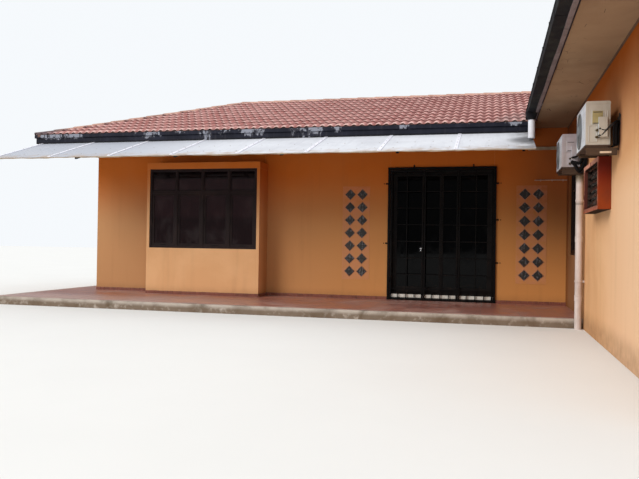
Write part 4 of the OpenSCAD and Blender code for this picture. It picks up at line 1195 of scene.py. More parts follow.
for y in gutter["straps"]:
    near, far = y - gutter["strapWidth"] / 2, y + gutter["strapWidth"] / 2
    cover = gutterTop + 0.004
    details.append(boxPart((gutterX - 0.009, near, gutterTop + 0.001), (gutterEndX, far, cover)))
    details.append(boxPart((gutterX - 0.011, near, gutterTop - 0.022), (gutterX - 0.008, far, cover)))
for y in gutter["bands"]:
    near, far, skin = y - gutter["bandWidth"] / 2, y + gutter["bandWidth"] / 2, gutter["skin"]
    details.append(boxPart((gutterX - skin, near, gutterZ - skin), (gutterX + 0.001, far, gutterTop - 0.012)))
    details.append(boxPart((gutterX - skin, near, gutterZ - skin), (gutterEndX, far, gutterZ + 0.001)))
    for z in np.linspace(gutterZ + 0.02, gutterTop - 0.03, 4):
        for spot in (y - 0.012, y + 0.012):
            details.append(screwPart((gutterX - skin + 0.0005, spot, z), (-1, 0, 0), 0.5, 8))
outletLow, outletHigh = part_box("gutter_outlet")
outletX, outletY = (outletLow.x + outletHigh.x) / 2, (outletLow.y + outletHigh.y) / 2
angles = turnOf(gutter["hopperSides"])
blend = 1 / np.maximum(np.abs(np.cos(angles)), np.abs(np.sin(angles)))
hopper = []
for drop, half in gutter["hopper"]:
    squareness = min(1.0, (half - gutter["round"]) / 0.024)
    reach = half * (1 + squareness * 0.85 * (blend - 1))
    level = np.full(gutter["hopperSides"], gutterZ + drop)
    hopper.append(np.stack([outletX + reach * np.cos(angles), outletY + reach * np.sin(angles), level], axis=1))
details.append(loftPart(hopper))
makePiece("gutterDetails", details, materials["gutter_metal"], bevel=0.001)

# Weathered batten that carries the gutter beside the fascia; its underside wanders by two sines
carrier = {"inner": gutterEndX - 0.002, "outer": gutterEndX - 0.050, "top": gutterZ + 0.0005, "deep": 0.015}
rings = []
for y in np.linspace(gutterLow.y + 0.03, gutterHigh.y - 0.02, 90):
    drop = carrier["deep"] + 0.0015 * (math.sin(y * 7) + math.sin(y * 17 + 1))
    edge = carrier["outer"] + 0.003 * math.sin(y * 3.1)
    rings.append([(edge, y, carrier["top"]), (carrier["inner"], y, carrier["top"]),
                  (carrier["inner"], y, carrier["top"] - drop), (edge, y, carrier["top"] - drop * 0.8)])
lilacTimber = makePainted("lilacTimber", (122, 108, 108), (78, 62, 58), (146, 134, 136), 0.85, 0.6, 0.4, 0.5,
                          2.5, 0.0012)
makePiece("gutterBatten", [loftPart(rings)], lilacTimber, bevel=0.0015)

# Fascia boards by their front faces: pairs of nail heads and a narrow cover strip at each joint
fascia = {
    "main": (-10.57, -0.90, -0.66, 5.70),
    "wing": (-0.63, -9.03, 7.23, 5.70),
    "mainNails": (3.225, 3.325),
    "wingNails": (3.44, 3.52),
    "nailGap": 0.6,
    "nailMargins": (0.3, 0.2),
    "joint": 3.2,
    "strip": 0.03,
    "proud": 0.004,
}
mainX, mainY, mainEndX, mainEndY = fascia["main"]
wingX, wingY, wingEndX, wingEndY = fascia["wing"]
boards = [
    ((mainX, mainY), (mainEndX, mainY), (0, -1), fascia["mainNails"]),
    ((mainX, mainY), (mainX, mainEndY), (-1, 0), fascia["mainNails"]),
    ((mainX, mainEndY), (mainEndX, mainEndY), (0, 1), fascia["mainNails"]),
    ((wingX, wingY), (wingEndX, wingY), (0, -1), fascia["wingNails"]),
    ((wingEndX, wingY), (wingEndX, wingEndY), (1, 0), fascia["wingNails"]),
    ((wingEndX, wingEndY), (wingX, wingEndY), (0, 1), fascia["wingNails"]),
]
firstNail, lastNail = fascia["nailMargins"]
nails = []
for start, end, outward, (low, high) in boards:
    start, end, out = asArrays(start, end, outward)
    length = np.linalg.norm(end - start)
    ahead = (end - start) / length
    for s in np.arange(firstNail, length - lastNail, fascia["nailGap"]):
        for z in (low, high):
            nails.append(screwPart((*(start + ahead * s), z), (*out, 0), 0.6, 8))
    for s in np.arange(fascia["joint"], length - 1.0, fascia["joint"]):
        a = start + ahead * (s - fascia["strip"] / 2) - out * 0.002
        b = start + ahead * (s + fascia["strip"] / 2) + out * fascia["proud"]
        nails.append(boxPart((*np.minimum(a, b), low - 0.012), (*np.maximum(a, b), high + 0.010)))
makePiece("fasciaFixings", nails, materials["fascia_paint"], smoothAngle=50)

# Tilting fillet on top of the main wing's fascia, up to the undersides of the first tiles
fillet = {"low": 3.318, "high": 3.3865, "out": 0.026, "thick": 0.016}
x, y, endX, endY = mainX - fillet["out"], mainY - fillet["out"], wingLow.x - 0.01, mainEndY + fillet["out"]
filletRuns = [
    ((x, y), (endX, y + fillet["thick"])),
    ((x, endY - fillet["thick"]), (endX, endY)),
    ((x, y + fillet["thick"]), (x + fillet["thick"], endY - fillet["thick"])),
]
filletParts = [boxPart((*low, fillet["low"]), (*high, fillet["high"])) for low, high in filletRuns]
makePiece("eaveFillet", filletParts, materials["fascia_paint"], bevel=0.002)
print("gutter and fascia details made")


# Outdoor units: each is drawn from its lower near corner on the front side, x towards the wall
unit = {
    "origins": [(-0.35, -5.16, 2.34), (-0.35, -2.57, 2.39)],
    "length": 0.78,
    "depth": 0.255,
    "height": 0.50,
    "fan": (-0.004, 0.535, 0.25),
    "fanRadius": 0.2,
    "rings": 11,
    "wire": 0.0017,
    "spokes": 12,
    "dome": 0.012,
    "hub": [(0.0, 0.058), (0.012, 0.060), (0.016, 0.054), (0.018, 0.030), (0.0185, 0.001)],
    "lidDepth": 0.030,
    "lidRound": 0.021,
    "lidOut": 0.003,
    "ribs": np.arange(0.09, 0.42, 0.030),
    "feet": (0.03, 0.685),
    # Spots of the service valves on each end panel
    "valves": [((0.143, 0.0, 0.190), (0.140, 0.0, 0.115)), ((0.140, 0.0, 0.150), (0.135, 0.0, 0.080))],
}
length, depth, lidFoot = unit["length"], unit["depth"], unit["height"] - unit["lidDepth"]


def movedTo(origin, parts):
    return [(np.asarray(points, float) + np.array(origin), faces) for points, faces in parts]


# Fan guard: rings and spokes round a hub, on a dome that falls away with the square of the radius
def fanGuard():
    x, y, z = unit["fan"]
    parts = [ringPart((x - 0.001, y, z), (1, 0, 0), unit["fanRadius"] + 0.006, 0.0055, 56, 10)]
    for radius in np.linspace(0.062, unit["fanRadius"] - 0.006, unit["rings"]):
        dome = -unit["dome"] * (1 - (radius / unit["fanRadius"]) ** 2)
        parts.append(ringPart((x + dome, y, z), (1, 0, 0), radius, unit["wire"], 44, 6))
    radii = np.linspace(0.05, unit["fanRadius"] + 0.002, 9)
    dome = -unit["dome"] * (1 - (radii / unit["fanRadius"]) ** 2) + 0.002
    for angle in turnOf(unit["spokes"]):
        path = np.stack([x + dome, y + radii * math.cos(angle), z + radii * math.sin(angle)], axis=1)
        parts.append(tubePart(path, unit["wire"] * 1.1, 6))
    parts.append(turnedPart((x + 0.002, y, z), (-1, 0, 0), unit["hub"], 32))
    return parts


# Lid: a rounded cap over the top edge, a little larger than the casing
def unitLid():
    out, bend = unit["lidOut"], unit["lidRound"]
    high = unit["height"] + out
    turn = np.linspace(0, math.pi / 2, 7)
    outline = [(-out, lidFoot)]
    outline += [(-out + bend - bend * math.cos(a), high - bend + bend * math.sin(a)) for a in turn]
    outline += [(depth + out - bend + bend * math.sin(a), high - bend + bend * math.cos(a)) for a in turn]
    outline += [(depth + out, lidFoot)]
    return [loftPart([[(x, y, z) for x, z in outline] for y in (-0.004, 0.0, length, length + 0.004)])]


# Casing plates: corner posts, embossed ribs beside the fan, and the end panel with its handle recess
def unitPlates():
    parts = [boxPart((-0.003, y - 0.003, 0.026), (0.024, y + 0.031, lidFoot)) for y in (0.0, length - 0.028)]
    parts += [boxPart((-0.003, 0.05, z), (0.002, 0.27, z + 0.012)) for z in unit["ribs"]]
    parts += framePart((0.030, -0.005, 0.045), (0.122, 0.002, 0.235), 0.008)
    return parts + [boxPart((0.072, -0.006, 0.243), (0.185, 0.001, 0.248))]


# Base pan under the casing, with a folded rim
def unitPan():
    return [boxPart((-0.004, -0.004, -0.002), (depth + 0.003, length + 0.004, 0.012)),
            boxPart((-0.006, -0.006, 0.010), (depth + 0.004, length + 0.005, 0.016))]


# Cover on the end panel: a raised plate, ribbed beside the moulded box that makes up its left half
def unitCover():
    parts = [boxPart((0.061, -0.005, 0.242), (0.238, 0.002, 0.403))]
    return parts + [boxPart((x, -0.0095, 0.252), (x + 0.008, 0.000, 0.393)) for x in (0.184, 0.203, 0.222)]


# Dark parts: two slots beside the handle, coil fins along the back and slots in the far end; the slots are dark
# bars, painted shade of the openings
def unitDark():
    high = unit["height"] - 0.04
    parts = [boxPart((0.076, -0.0115, z), (0.168, -0.004, z + 0.008)) for z in (0.374, 0.252)]
    for y in np.arange(0.03, length - 0.03, 0.012):
        parts.append(boxPart((depth - 0.001, y, 0.04), (depth + 0.005, y + 0.002, high)))
    for z in np.arange(0.05, 0.45, 0.02):
        parts.append(boxPart((0.03, length - 0.001, z), (depth - 0.03, length + 0.003, z + 0.008)))
    return parts


# Two service valves on the end panel, each a body, a nut and a cap
def unitValves(spots):
    body = [(0, 0.013), (0.020, 0.013), (0.022, 0.010), (0.030, 0.010)]
    nut = [(0, 0.015), (0.013, 0.015), (0.015, 0.012)]
    stem = [(0, 0.008), (0.022, 0.008), (0.023, 0.012), (0.042, 0.012), (0.045, 0.009)]
    parts = []
    for x, y, z in spots:
        parts.append(turnedPart((x, y, z), (0, -1, 0), body, 20))
        parts.append(turnedPart((x, y - 0.029, z), (0, -1, 0), nut, 6))
        parts.append(turnedPart((x, y - 0.016, z), (-1, 0, -0.5), stem, 16))
    return parts


# Bolts under the feet, and those that hold the brackets to the wall
def unitBolts(origin):
    parts = []
    for y in unit["feet"]:
        for x in (0.05, 0.20):
            parts += boltPart((x, y, 0.0265 - 0.0415), (0, 0, -1))
        for z in (0.04, 0.26):
            parts += boltPart((-origin[0] - 0.005, y - 0.004, z), (-1, 0, 0), 1.1)
    return parts


# Pipes of each unit in the house's own coordinates: radius, then points from the valve or the hole on. Bare
# thin pipes and a hanging lagged bundle at the near unit; at the far one a tangle of lagged tubes.
pipeRuns = {
    "bare": [
        (0.0075, (-0.207, -5.190, 2.530), (-0.190, -5.198, 2.522), (-0.152, -5.200, 2.512),
         (-0.118, -5.200, 2.545), (-0.091, -5.198, 2.571), (-0.060, -5.190, 2.594), (-0.020, -5.160, 2.612),
         (0.015, -5.120, 2.618)),
        (0.0065, (-0.210, -5.190, 2.455), (-0.188, -5.200, 2.462), (-0.160, -5.204, 2.492),
         (-0.122, -5.204, 2.530), (-0.085, -5.202, 2.560), (-0.052, -5.192, 2.582), (-0.018, -5.165, 2.604),
         (0.015, -5.130, 2.612)),
        (0.0050, (-0.232, -5.186, 2.428), (-0.214, -5.196, 2.436), (-0.196, -5.200, 2.452)),
    ],
    "lagged": [
        (0.0115, (0.010, -5.140, 2.608), (-0.030, -5.195, 2.610), (-0.058, -5.210, 2.585),
         (-0.069, -5.212, 2.520), (-0.068, -5.212, 2.440), (-0.066, -5.208, 2.375), (-0.062, -5.170, 2.345),
         (-0.060, -5.080, 2.345)),
        (0.0140, (0.010, -5.135, 2.595), (-0.022, -5.185, 2.592), (-0.040, -5.206, 2.560),
         (-0.044, -5.210, 2.480), (-0.042, -5.210, 2.400), (-0.042, -5.200, 2.362), (-0.044, -5.160, 2.352),
         (-0.046, -5.070, 2.355)),
        (0.0130, (0.010, -5.125, 2.590), (-0.010, -5.165, 2.570), (-0.016, -5.190, 2.520),
         (-0.018, -5.196, 2.440), (-0.018, -5.192, 2.380), (-0.020, -5.160, 2.358), (-0.024, -5.060, 2.360)),
        (0.0240, (0.018, -2.675, 2.662), (-0.028, -2.700, 2.640), (-0.045, -2.715, 2.550),
         (-0.055, -2.715, 2.450), (-0.090, -2.700, 2.370), (-0.120, -2.690, 2.335), (-0.150, -2.690, 2.360),
         (-0.175, -2.660, 2.420), (-0.215, -2.620, 2.470)),
        (0.0200, (0.018, -2.690, 2.668), (-0.050, -2.720, 2.610), (-0.085, -2.730, 2.550),
         (-0.100, -2.720, 2.470), (-0.130, -2.700, 2.440), (-0.180, -2.670, 2.460), (-0.215, -2.625, 2.480)),
        (0.0160, (0.018, -2.680, 2.680), (-0.060, -2.700, 2.640), (-0.110, -2.700, 2.622),
         (-0.135, -2.690, 2.580), (-0.160, -2.660, 2.545), (-0.210, -2.610, 2.540)),
        (0.0120, (0.018, -2.700, 2.655), (-0.020, -2.722, 2.560), (-0.030, -2.735, 2.420),
         (-0.070, -2.740, 2.330), (-0.100, -2.720, 2.302), (-0.120, -2.655, 2.322), (-0.130, -2.560, 2.350)),
    ],
}


# The same parts on both units
def atUnits(parts):
    return [part for origin in unit["origins"] for part in movedTo(origin, parts)]


casing, bracketSteel = materials["unit_casing"], materials["bracket_steel"]
guardMetal = makePainted("guardMetal", (112, 116, 120), (84, 72, 62), (140, 142, 144), 0.5, 0.4, 0.2, 0.3,
                         4.0)
finMetalAndSlotShade = makePainted("finMetalAndSlotShade", (66, 66, 70), (44, 40, 38), (110, 110, 112), 0.5, 0.5, 0.2, 0.3, 5.0)
brass = makePainted("brass", (92, 78, 50), (48, 42, 36), (150, 128, 84), 0.35, 0.5, 0.2, 0.5, 8.0,
                    metallic=0.8)
rustyPan = makePainted("rustyPan", (74, 54, 42), (48, 32, 24), (110, 82, 62), 0.8, 0.6, 0.3, 0.5, 4.0, 0.0008)
barePipe = makePainted("barePipe", (34, 27, 25), (22, 18, 17), (66, 54, 46), 0.7, 0.5, 0.2, 0.4, 6.0)
handlePlastic = makePainted("handlePlastic", (164, 150, 104), (112, 96, 62), (192, 182, 144), 0.5, 0.5, 0.3)
paleZinc = makePainted("paleZinc", (214, 192, 166), (150, 110, 80), (232, 222, 206), 0.5, 0.3, 0.3, 0.4, 4.0)
handles = atUnits([boxPart((0.068, -0.010, 0.250), (0.176, 0.000, 0.392))])
shelf = atUnits([boxPart((0.004, 0.002, -0.095), (0.330, 0.008, -0.016)),
                 boxPart((0.004, 0.002, -0.0955), (0.330, 0.045, -0.091))])
packers = movedTo(unit["origins"][0], [boxPart((0.149, -0.005, -0.077), (0.268, 0.004, -0.055))])
valves, bolts = [], []
for origin, spots in zip(unit["origins"], unit["valves"]):
    valves += movedTo(origin, unitValves(spots))
    bolts += movedTo(origin, unitBolts(origin))
makePiece("fanGuards", atUnits(fanGuard()), guardMetal, smoothAngle=60)
makePiece("unitPlates", atUnits(unitCover() + unitLid() + unitPlates()), casing, bevel=0.0015)
makePiece("nearHandle", handles[:1], handlePlastic, bevel=0.001)
makePiece("farHandle", handles[1:], casing, bevel=0.001)
makePiece("coilFinsAndSlotShade", atUnits(unitDark()), finMetalAndSlotShade)
makePiece("serviceValves", valves, brass, smoothAngle=40)
makePiece("unitPans", atUnits(unitPan()), rustyPan, bevel=0.001)
for name, kind, skin, replaced in (("laggedPipes", "lagged", materials["lagging"], ["ac_pipes"]),
                                   ("barePipes", "bare", barePipe, [])):
    pipes = [tubePart(smoothPath(run[1:], 6), run[0], 12) for run in pipeRuns[kind]]
    makePiece(name, pipes, skin, replaces=replaced, smoothAngle=60)
makePiece("bracketBolts", bolts, screwMetal, smoothAngle=40)
makePiece("shelfPlates", shelf, bracketSteel, bevel=0.001)
makePiece("packers", packers, paleZinc, bevel=0.001)
print("outdoor units detailed")

# Waste pipe: socket rims at its joints, with a groove under each, and the screws of its clamps
pipe = {
    "x": -0.085,
    "y": -2.45,
    "radius": 0.05,
    "joints": (0.42, 1.30, 2.20),
    # Up a rim: height, and how far it stands out from the pipe
    "rim": ((0, -0.001), (0.001, 0.0045), (0.060, 0.0045), (0.066, 0.003), (0.070, 0.006), (0.082, 0.006),
            (0.085, 0.003), (0.087, -0.001)),
    "clamps": (0.715, 1.915),
}
rimProfile = [(h, pipe["radius"] + out) for h, out in pipe["rim"]]
rims = [turnedPart((pipe["x"], pipe["y"], z), (0, 0, 1), rimProfile, 36) for z in pipe["joints"]]
for z in pipe["clamps"]:
    for side in (-1, 1):
        rims += boltPart((pipe["x"] + 0.045, pipe["y"] + side * 0.0155, z), (0, side, 0), 0.6)
makePiece("pipeSockets", rims, materials["white_pipe"], smoothAngle=40)

# Plain windows: sashes, a thin bar, beads, stays and inner bars, all drawn for one and turned to each place
window = {
    "halfWidth": 0.6,
    "frame": 0.045,
    "halfMullion": 0.0225,
    "sill": 1.085,
    "head": 2.69,
    "sash": 0.040,
    "bead": 0.010,
    "front": 0.047,
    "back": 0.074,
    "transom": 2.20,
    "barRadius": 0.006,
    "barGap": 0.107,
    "barDepth": 0.100,
    "crossBars": (1.45, 1.95, 2.35),
    "hinges": (1.25, 2.45),
}
lightEnd = window["halfWidth"] - window["frame"]
lights = ((-lightEnd, -window["halfMullion"]), (window["halfMullion"], lightEnd))
sashBottom, sashTop = window["sill"] + window["frame"], window["head"] - window["frame"]
sashFront, sashBack = window["front"], window["back"]


# Both sashes: frame, glazing bead and the bar across
def windowSash():
    wide, transom, gap = window["sash"], window["transom"], 0.001
    parts = []
    for low, high in lights:
        parts += framePart((low + gap, sashFront, sashBottom + gap),
                           (high - gap, sashBack, sashTop - gap), wide)
        parts += framePart((low + wide, sashFront + 0.012, sashBottom + wide),
                           (high - wide, sashBack, sashTop - wide), window["bead"])
        parts.append(boxPart((low + wide, sashFront + 0.006, transom),
                             (high - wide, sashBack, transom + 0.028)))
    return parts


# Upright round bars behind each light, and flats across them
def windowBars():
    depth = window["barDepth"]
    parts = []
    for low, high in lights:
        for x in np.arange(low + 0.055, high - 0.02, window["barGap"]):
            line = [(x, depth, sashBottom - 0.01), (x, depth, sashTop + 0.01)]
            parts.append(tubePart(line, window["barRadius"], 8))
        for z in window["crossBars"]:
            parts.append(boxPart((low - 0.01, depth - 0.003, z), (high + 0.01, depth + 0.003, z + 0.025)))
    return parts


# Stay: a short bent peg, from the face of a sash outwards and up
def stayPart(x, face, z, bends):
    return tubePart(smoothPath([(x, face - out, z + up) for out, up in bends], 5), 0.005, 10)


# Handles and stays in the middle, and hinge barrels at the jambs
def windowStays():
    bends = ((0.003, 0.0), (0.022, 0.0), (0.026, 0.03), (0.024, 0.08))
    parts = []
    for x, side in ((-0.05, -1), (0.05, 1)):
        parts.append(boxPart((x - 0.008, sashFront - 0.004, 1.62), (x + 0.008, sashFront, 1.70)))
        parts.append(stayPart(x, sashFront, 1.66, bends))
        hinge, out = side * (lightEnd - 0.002), sashFront - 0.004
        parts += [tubePart([(hinge, out, z), (hinge, out, z + 0.07)], 0.006, 10) for z in window["hinges"]]
    return parts


# Places of the windows, each with the turn of its outer side from -Y: evenly spaced on the sides the photo
# doesn't show, and one on the court side of the wing beside the corner
def windowPlaces():
    places = [((left - left * (i + 0.5) / 3, rear), 180) for i in range(3)]
    places += [((left, rear / 2), -90), ((outer / 2, rear), 180), ((0.0, -0.91), -90)]
    places += [((outer, front + (rear - front) * (i + 0.5) / 4), 90) for i in range(4)]
    return places + [((outer * (i + 0.5) / 2, front), 0) for i in range(2)]


def atWindows(parts):
    made = []
    for (x, y), degrees in windowPlaces():
        c, s = round(math.cos(math.radians(degrees))), round(math.sin(math.radians(degrees)))
        turn = np.array(((c, s, 0), (-s, c, 0), (0, 0, 1)))
        made += [(np.asarray(points, float) @ turn + np.array((x, y, 0)), faces) for points, faces in parts]
    return made


timber, darkSteel = materials["window_timber"], materials["dark_steel"]
makePiece("windowSashes", atWindows(windowSash()), timber, bevel=0.002)
makePiece("windowBars", atWindows(windowBars()), darkSteel, smoothAngle=50)
makePiece("windowStays", atWindows(windowStays()), darkSteel, smoothAngle=50)

# Bay window: beads round the panes, stays on the sashes and inner bars behind the glass
bay = {
    "left": -8.16,
    "right": -5.84,
    "frame": 0.045,
    "face": -0.473,
    "beadDepth": 0.0135,
    "sill": 1.084,
    "transom": 2.20,
    "head": 2.69,
    "lights": 4,
    "barY": -0.375,
    "barRadius": 0.006,
    "barGap": 0.116,
    "crossBars": (1.40, 1.95, 2.42),
    "bends": ((-0.002, 0.0), (0.014, 0.0), (0.017, 0.03), (0.015, 0.10)),
}
lightWidth = (bay["right"] - bay["left"] - (bay["lights"] + 1) * bay["frame"]) / bay["lights"]
face, sill, transom, beadBack = bay["face"], bay["sill"], bay["transom"], bay["face"] + bay["beadDepth"]
beads, stays, bars = [], [], []
for i in range(bay["lights"]):
    x = bay["left"] + bay["frame"] + i * (lightWidth + bay["frame"])
    end, middle = x + lightWidth, x + lightWidth / 2
    beads += framePart((x + 0.04, face + 0.003, sill + 0.085), (end - 0.04, beadBack, transom - 0.04), 0.009)
    beads += framePart((x, face, transom + 0.045), (end, beadBack, bay["head"] - 0.045), 0.014)
    stays.append(boxPart((middle - 0.06, face - 0.003, sill + 0.058),
                         (middle + 0.06, face + 0.001, sill + 0.070)))
    stays.append(stayPart(x + 0.02, face, 1.60, bay["bends"]))
for x in np.arange(bay["left"] + 0.08, bay["right"] - 0.03, bay["barGap"]):
    bar = [(x, bay["barY"], sill + 0.002), (x, bay["barY"], bay["head"] - 0.002)]
    bars.append(tubePart(bar, bay["barRadius"], 8))
near, far = bay["barY"] - 0.003, bay["barY"] + 0.003
for z in bay["crossBars"]:
    bars.append(boxPart((bay["left"] - 0.001, near, z), (bay["right"] + 0.001, far, z + 0.026)))
makePiece("bayBeads", beads, timber, bevel=0.0015)
makePiece("bayStays", stays, darkSteel, smoothAngle=50)
makePiece("bayBars", bars, darkSteel, smoothAngle=50)
print("windows detailed")

# Door leaves: glazing beads, and a flush pull on the sliding leaf
door = {"bead": 0.010, "pullOut": 0.002, "pullX": (0.016, 0.044), "pullZ": (1.05, 1.19)}


# Beads round a pane on both its faces
def glassBeads(node):
    (x, y, z), (endX, endY, endZ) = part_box(node)
    bead = door["bead"]
    outside = framePart((x, y - bead, z), (endX, y, endZ), bead)
    return outside + framePart((x, endY, z), (endX, endY + bead, endZ), bead)


leafLow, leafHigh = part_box("sliding_leaf")
pull = []
for y in (leafLow.y, leafHigh.y):
    low = (leafLow.x + door["pullX"][0], y - door["pullOut"], door["pullZ"][0])
    pull += framePart(low, (leafLow.x + door["pullX"][1], y + door["pullOut"], door["pullZ"][1]), 0.006)
doorTimber = materials["door_timber"]
makePiece("fixedBeads", glassBeads("fixed_glass"), doorTimber, bevel=0.001)
makePiece("slidingBeads", glassBeads("sliding_glass"), doorTimber, body="door_leaf",
          bevel=0.001)
makePiece("doorPull", pull, darkSteel, body="door_leaf", bevel=0.001)

# Grille: bolts through the lugs, hinge pins, and a lock with its plate, knob and keyhole
lugs = [(postLow.x - 0.030, z) for z in (1.245, 2.405)]
lugs += [(postHigh.x + 0.030, z) for z in (0.905, 1.715, 2.405)]
lugs += [(x, 2.75) for x in (-2.805, -1.685)]
bolts = [part for x, z in lugs for part in boltPart((x, -0.006, z), (0, -1, 0))]
pinProfile = [(0.0, 0.0085), (0.004, 0.0085), (0.008, 0.004), (0.0085, 0.0005)]
pins = [turnedPart((-3.26, -0.052, z), (0, 0, -1), pinProfile, 16) for z in (0.50, 1.40, 2.30)]
makePiece("grilleBolts", bolts, darkSteel, smoothAngle=40)
makePiece("hingePins", pins, darkSteel, smoothAngle=50)
lock = {
    "x": -2.652,
    "face": -0.0525,
    "z": 1.135,
    "half": (0.030, 0.046),
    "knob": [(0, 0.013), (0.006, 0.009), (0.016, 0.009), (0.020, 0.018), (0.030, 0.021), (0.038, 0.017),
             (0.041, 0.001)],
    "keyhole": [(0, 0.009), (0.003, 0.009), (0.004, 0.006)],
    "screws": ((-0.024, -0.040), (0.024, 0.040)),
}
x, face, z = lock["x"], lock["face"], lock["z"]
halfX, halfZ = lock["half"]
plate = [boxPart((x - halfX, face - 0.002, z - halfZ), (x + halfX, face + 0.001, z + halfZ))]
knob = [turnedPart((x, face - 0.001, z + 0.016), (0, -1, 0), lock["knob"], 28),
        turnedPart((x, face - 0.001, z - 0.024), (0, -1, 0), lock["keyhole"], 20)]
knob += [screwPart((x + dx, face - 0.0015, z + dz), (0, -1, 0), 0.35) for dx, dz in lock["screws"]]
chrome = makePainted("chrome", (196, 198, 202), (120, 112, 104), (230, 230, 232), 0.22, 0.3, 0.1, 0.3, 6.0,
                     metallic=0.9)
makePiece("lockPlate", plate, darkSteel, body="gate_leaf", bevel=0.001)
makePiece("lockKnob", knob, chrome, body="gate_leaf", smoothAngle=50)
print("door and grille detailed")

# Slate slabs. Height of the riven face over the wall: terraces of a field that sums five sine waves in
# random directions, with the slab's rim nibbled inwards by two short sines.
slab = {
    "side": 0.148,
    "thick": 0.008,
    "relief": 0.0045,
    "columns": (-4.0585, -3.8155, -0.7465, -0.5035),
    "low": 0.685,
    "step": 0.252,
    "rows": 7,
    "grid": 16,
    "waves": 5,
    "seed": 7,
    "mortar": 0.014,
    "mortarSides": 64,
    # Through the mortar: y of the ring and its share of the full size
    "mortarRings": ((0.001, 1.0), (-0.002, 1.0), (-0.0035, 0.96)),
    "panel": (0.15, 0.16),
}
slabRows = [(row, slab["low"] + row * slab["step"]) for row in range(slab["rows"])]
slabSpots = [(x, row, z) for x in slab["columns"] for row, z in slabRows]


def slabParts():
    random = np.random.default_rng(slab["seed"])
    n = slab["grid"]
    line = np.linspace(-0.5, 0.5, n + 1)
    a, b = np.meshgrid(line, line, indexing="ij")
    index = np.arange((n + 1) ** 2).reshape(n + 1, n + 1)
    quads = np.stack([index[:-1, :-1], index[1:, :-1], index[1:, 1:], index[:-1, 1:]], axis=2).reshape(-1, 4)
    rim = np.concatenate([index[:-1, 0], index[-1, :-1], index[:0:-1, -1], index[0, :0:-1]])
    edge = np.maximum(np.abs(a), np.abs(b)) > 0.49
    parts = []
    for x, row, z in slabSpots:
        waves = random.uniform((-3, -3, 0), (3, 3, 6.3), (slab["waves"], 3))
        field = sum(np.sin(2 * math.pi * (a * p + b * q) + r) / slab["waves"] for p, q, r in waves)
        terraces = np.round(field * 3) / 3
        height = slab["thick"] - slab["relief"] * (0.5 + 0.5 * (0.7 * terraces + 0.3 * field))
        nibble = np.where(edge, 0.985 - 0.012 * np.abs(np.sin(23 * a + row) * np.sin(29 * b + x)), 1.0)
        height = np.where(edge, height * 0.6, height)
        u, v = a * slab["side"] * nibble, b * slab["side"] * nibble
        turned = ((u - v) * math.sqrt(0.5), (u + v) * math.sqrt(0.5))
        front = np.stack([x + turned[0], -height, z + turned[1]], axis=2).reshape(-1, 3)
        back = front[rim] * np.array((1, 0, 1)) + np.array((0, 0.001, 0))
        count, base = len(rim), len(front)
        sides = [[rim[i], base + i, base + (i + 1) % count, rim[(i + 1) % count]] for i in range(count)]
        backFace = [[base + i for i in range(count)][::-1]]
        parts.append((np.concatenate([front, back]), quads.tolist() + sides + backFace))
    return parts


makePiece("slateSlabs", slabParts(), materials["slate_tile"], replaces=["wall_tiles"],
          smoothAngle=30)


# Worn mortar round each slab, a low diamond with a wandering rim, and the thin plaster panel behind each pair
# of columns
def mortarParts():
    share = np.linspace(0, 4, slab["mortarSides"], endpoint=False)
    side, along = np.floor(share).astype(int), share % 1
    tips = np.array(((1, 0), (0, 1), (-1, 0), (0, -1), (1, 0)), float)
    rim = tips[side] * (1 - along)[:, None] + tips[side + 1] * along[:, None]
    parts = []
    for x, row, z in slabSpots:
        wander = 1 + 0.012 * np.sin(share * 9 + row * 2 + x) + 0.008 * np.sin(share * 23 + row)
        reach = (slab["side"] * math.sqrt(0.5) + slab["mortar"]) * wander[:, None]
        rings = []
        for out, shrink in slab["mortarRings"]:
            spot = rim * reach * shrink
            rings.append(np.stack([x + spot[:, 0], np.full(len(spot), out), z + spot[:, 1]], axis=1))
        parts.append(loftPart(rings))
    return parts


past, over = slab["panel"]
low, high = slab["low"] - over, slab["low"] + slab["step"] * (slab["rows"] - 1) + over
pairs = zip(slab["columns"][::2], slab["columns"][1::2])
panels = [boxPart((start - past, -0.0018, low), (end + past, 0.001, high)) for start, end in pairs]
wornMortar = makePainted("wornMortar", (188, 132, 102), (124, 78, 50), (206, 162, 138), 0.9, 0.6, 0.2, 0.6,
                         7.0, 0.002, specular=0.1)
makePiece("slateMortar", mortarParts(), wornMortar)
makePiece("slatePanels", panels, makeWallPaint("panelPaint", 0.30), bevel=0.0008)

# Louvre window: clips at the blades' ends, a fly screen behind and a lever
louvre = {
    "blades": 5,
    "inset": 0.03,
    "screenX": -0.066,
    "mesh": 0.020,
    "thread": 0.0009,
    "screenInset": 0.025,
}
(boxX, boxY, boxZ), (boxEndX, boxEndY, boxTop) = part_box("box_louvres")
inset, thread, rim = louvre["inset"], louvre["thread"], louvre["screenInset"]
clips = []
for i in range(louvre["blades"]):
    z = boxZ + inset + (boxTop - boxZ - 2 * inset) * (i + 0.5) / louvre["blades"]
    for y in (boxY + inset, boxEndY - inset):
        clips.append(boxPart((boxX + 0.006, y - 0.009, z - 0.034), (boxEndX - 0.006, y + 0.009, z - 0.026)))
        clips.append(boxPart((boxX + 0.010, y - 0.007, z + 0.026), (boxEndX - 0.014, y + 0.007, z + 0.033)))
lever = [(boxEndX - 0.01, boxY + 0.018, boxZ + 0.18), (boxEndX + 0.02, boxY + 0.02, boxZ + 0.18),
         (boxEndX + 0.028, boxY + 0.02, boxZ + 0.25)]
clips.append(tubePart(smoothPath(lever, 5), 0.005, 8))
near, far = louvre["screenX"] - thread, louvre["screenX"] + thread
threads = [boxPart((near, y, boxZ + rim), (far, y + 2 * thread, boxTop - rim))
           for y in np.arange(boxY + 0.03, boxEndY - 0.03, louvre["mesh"])]
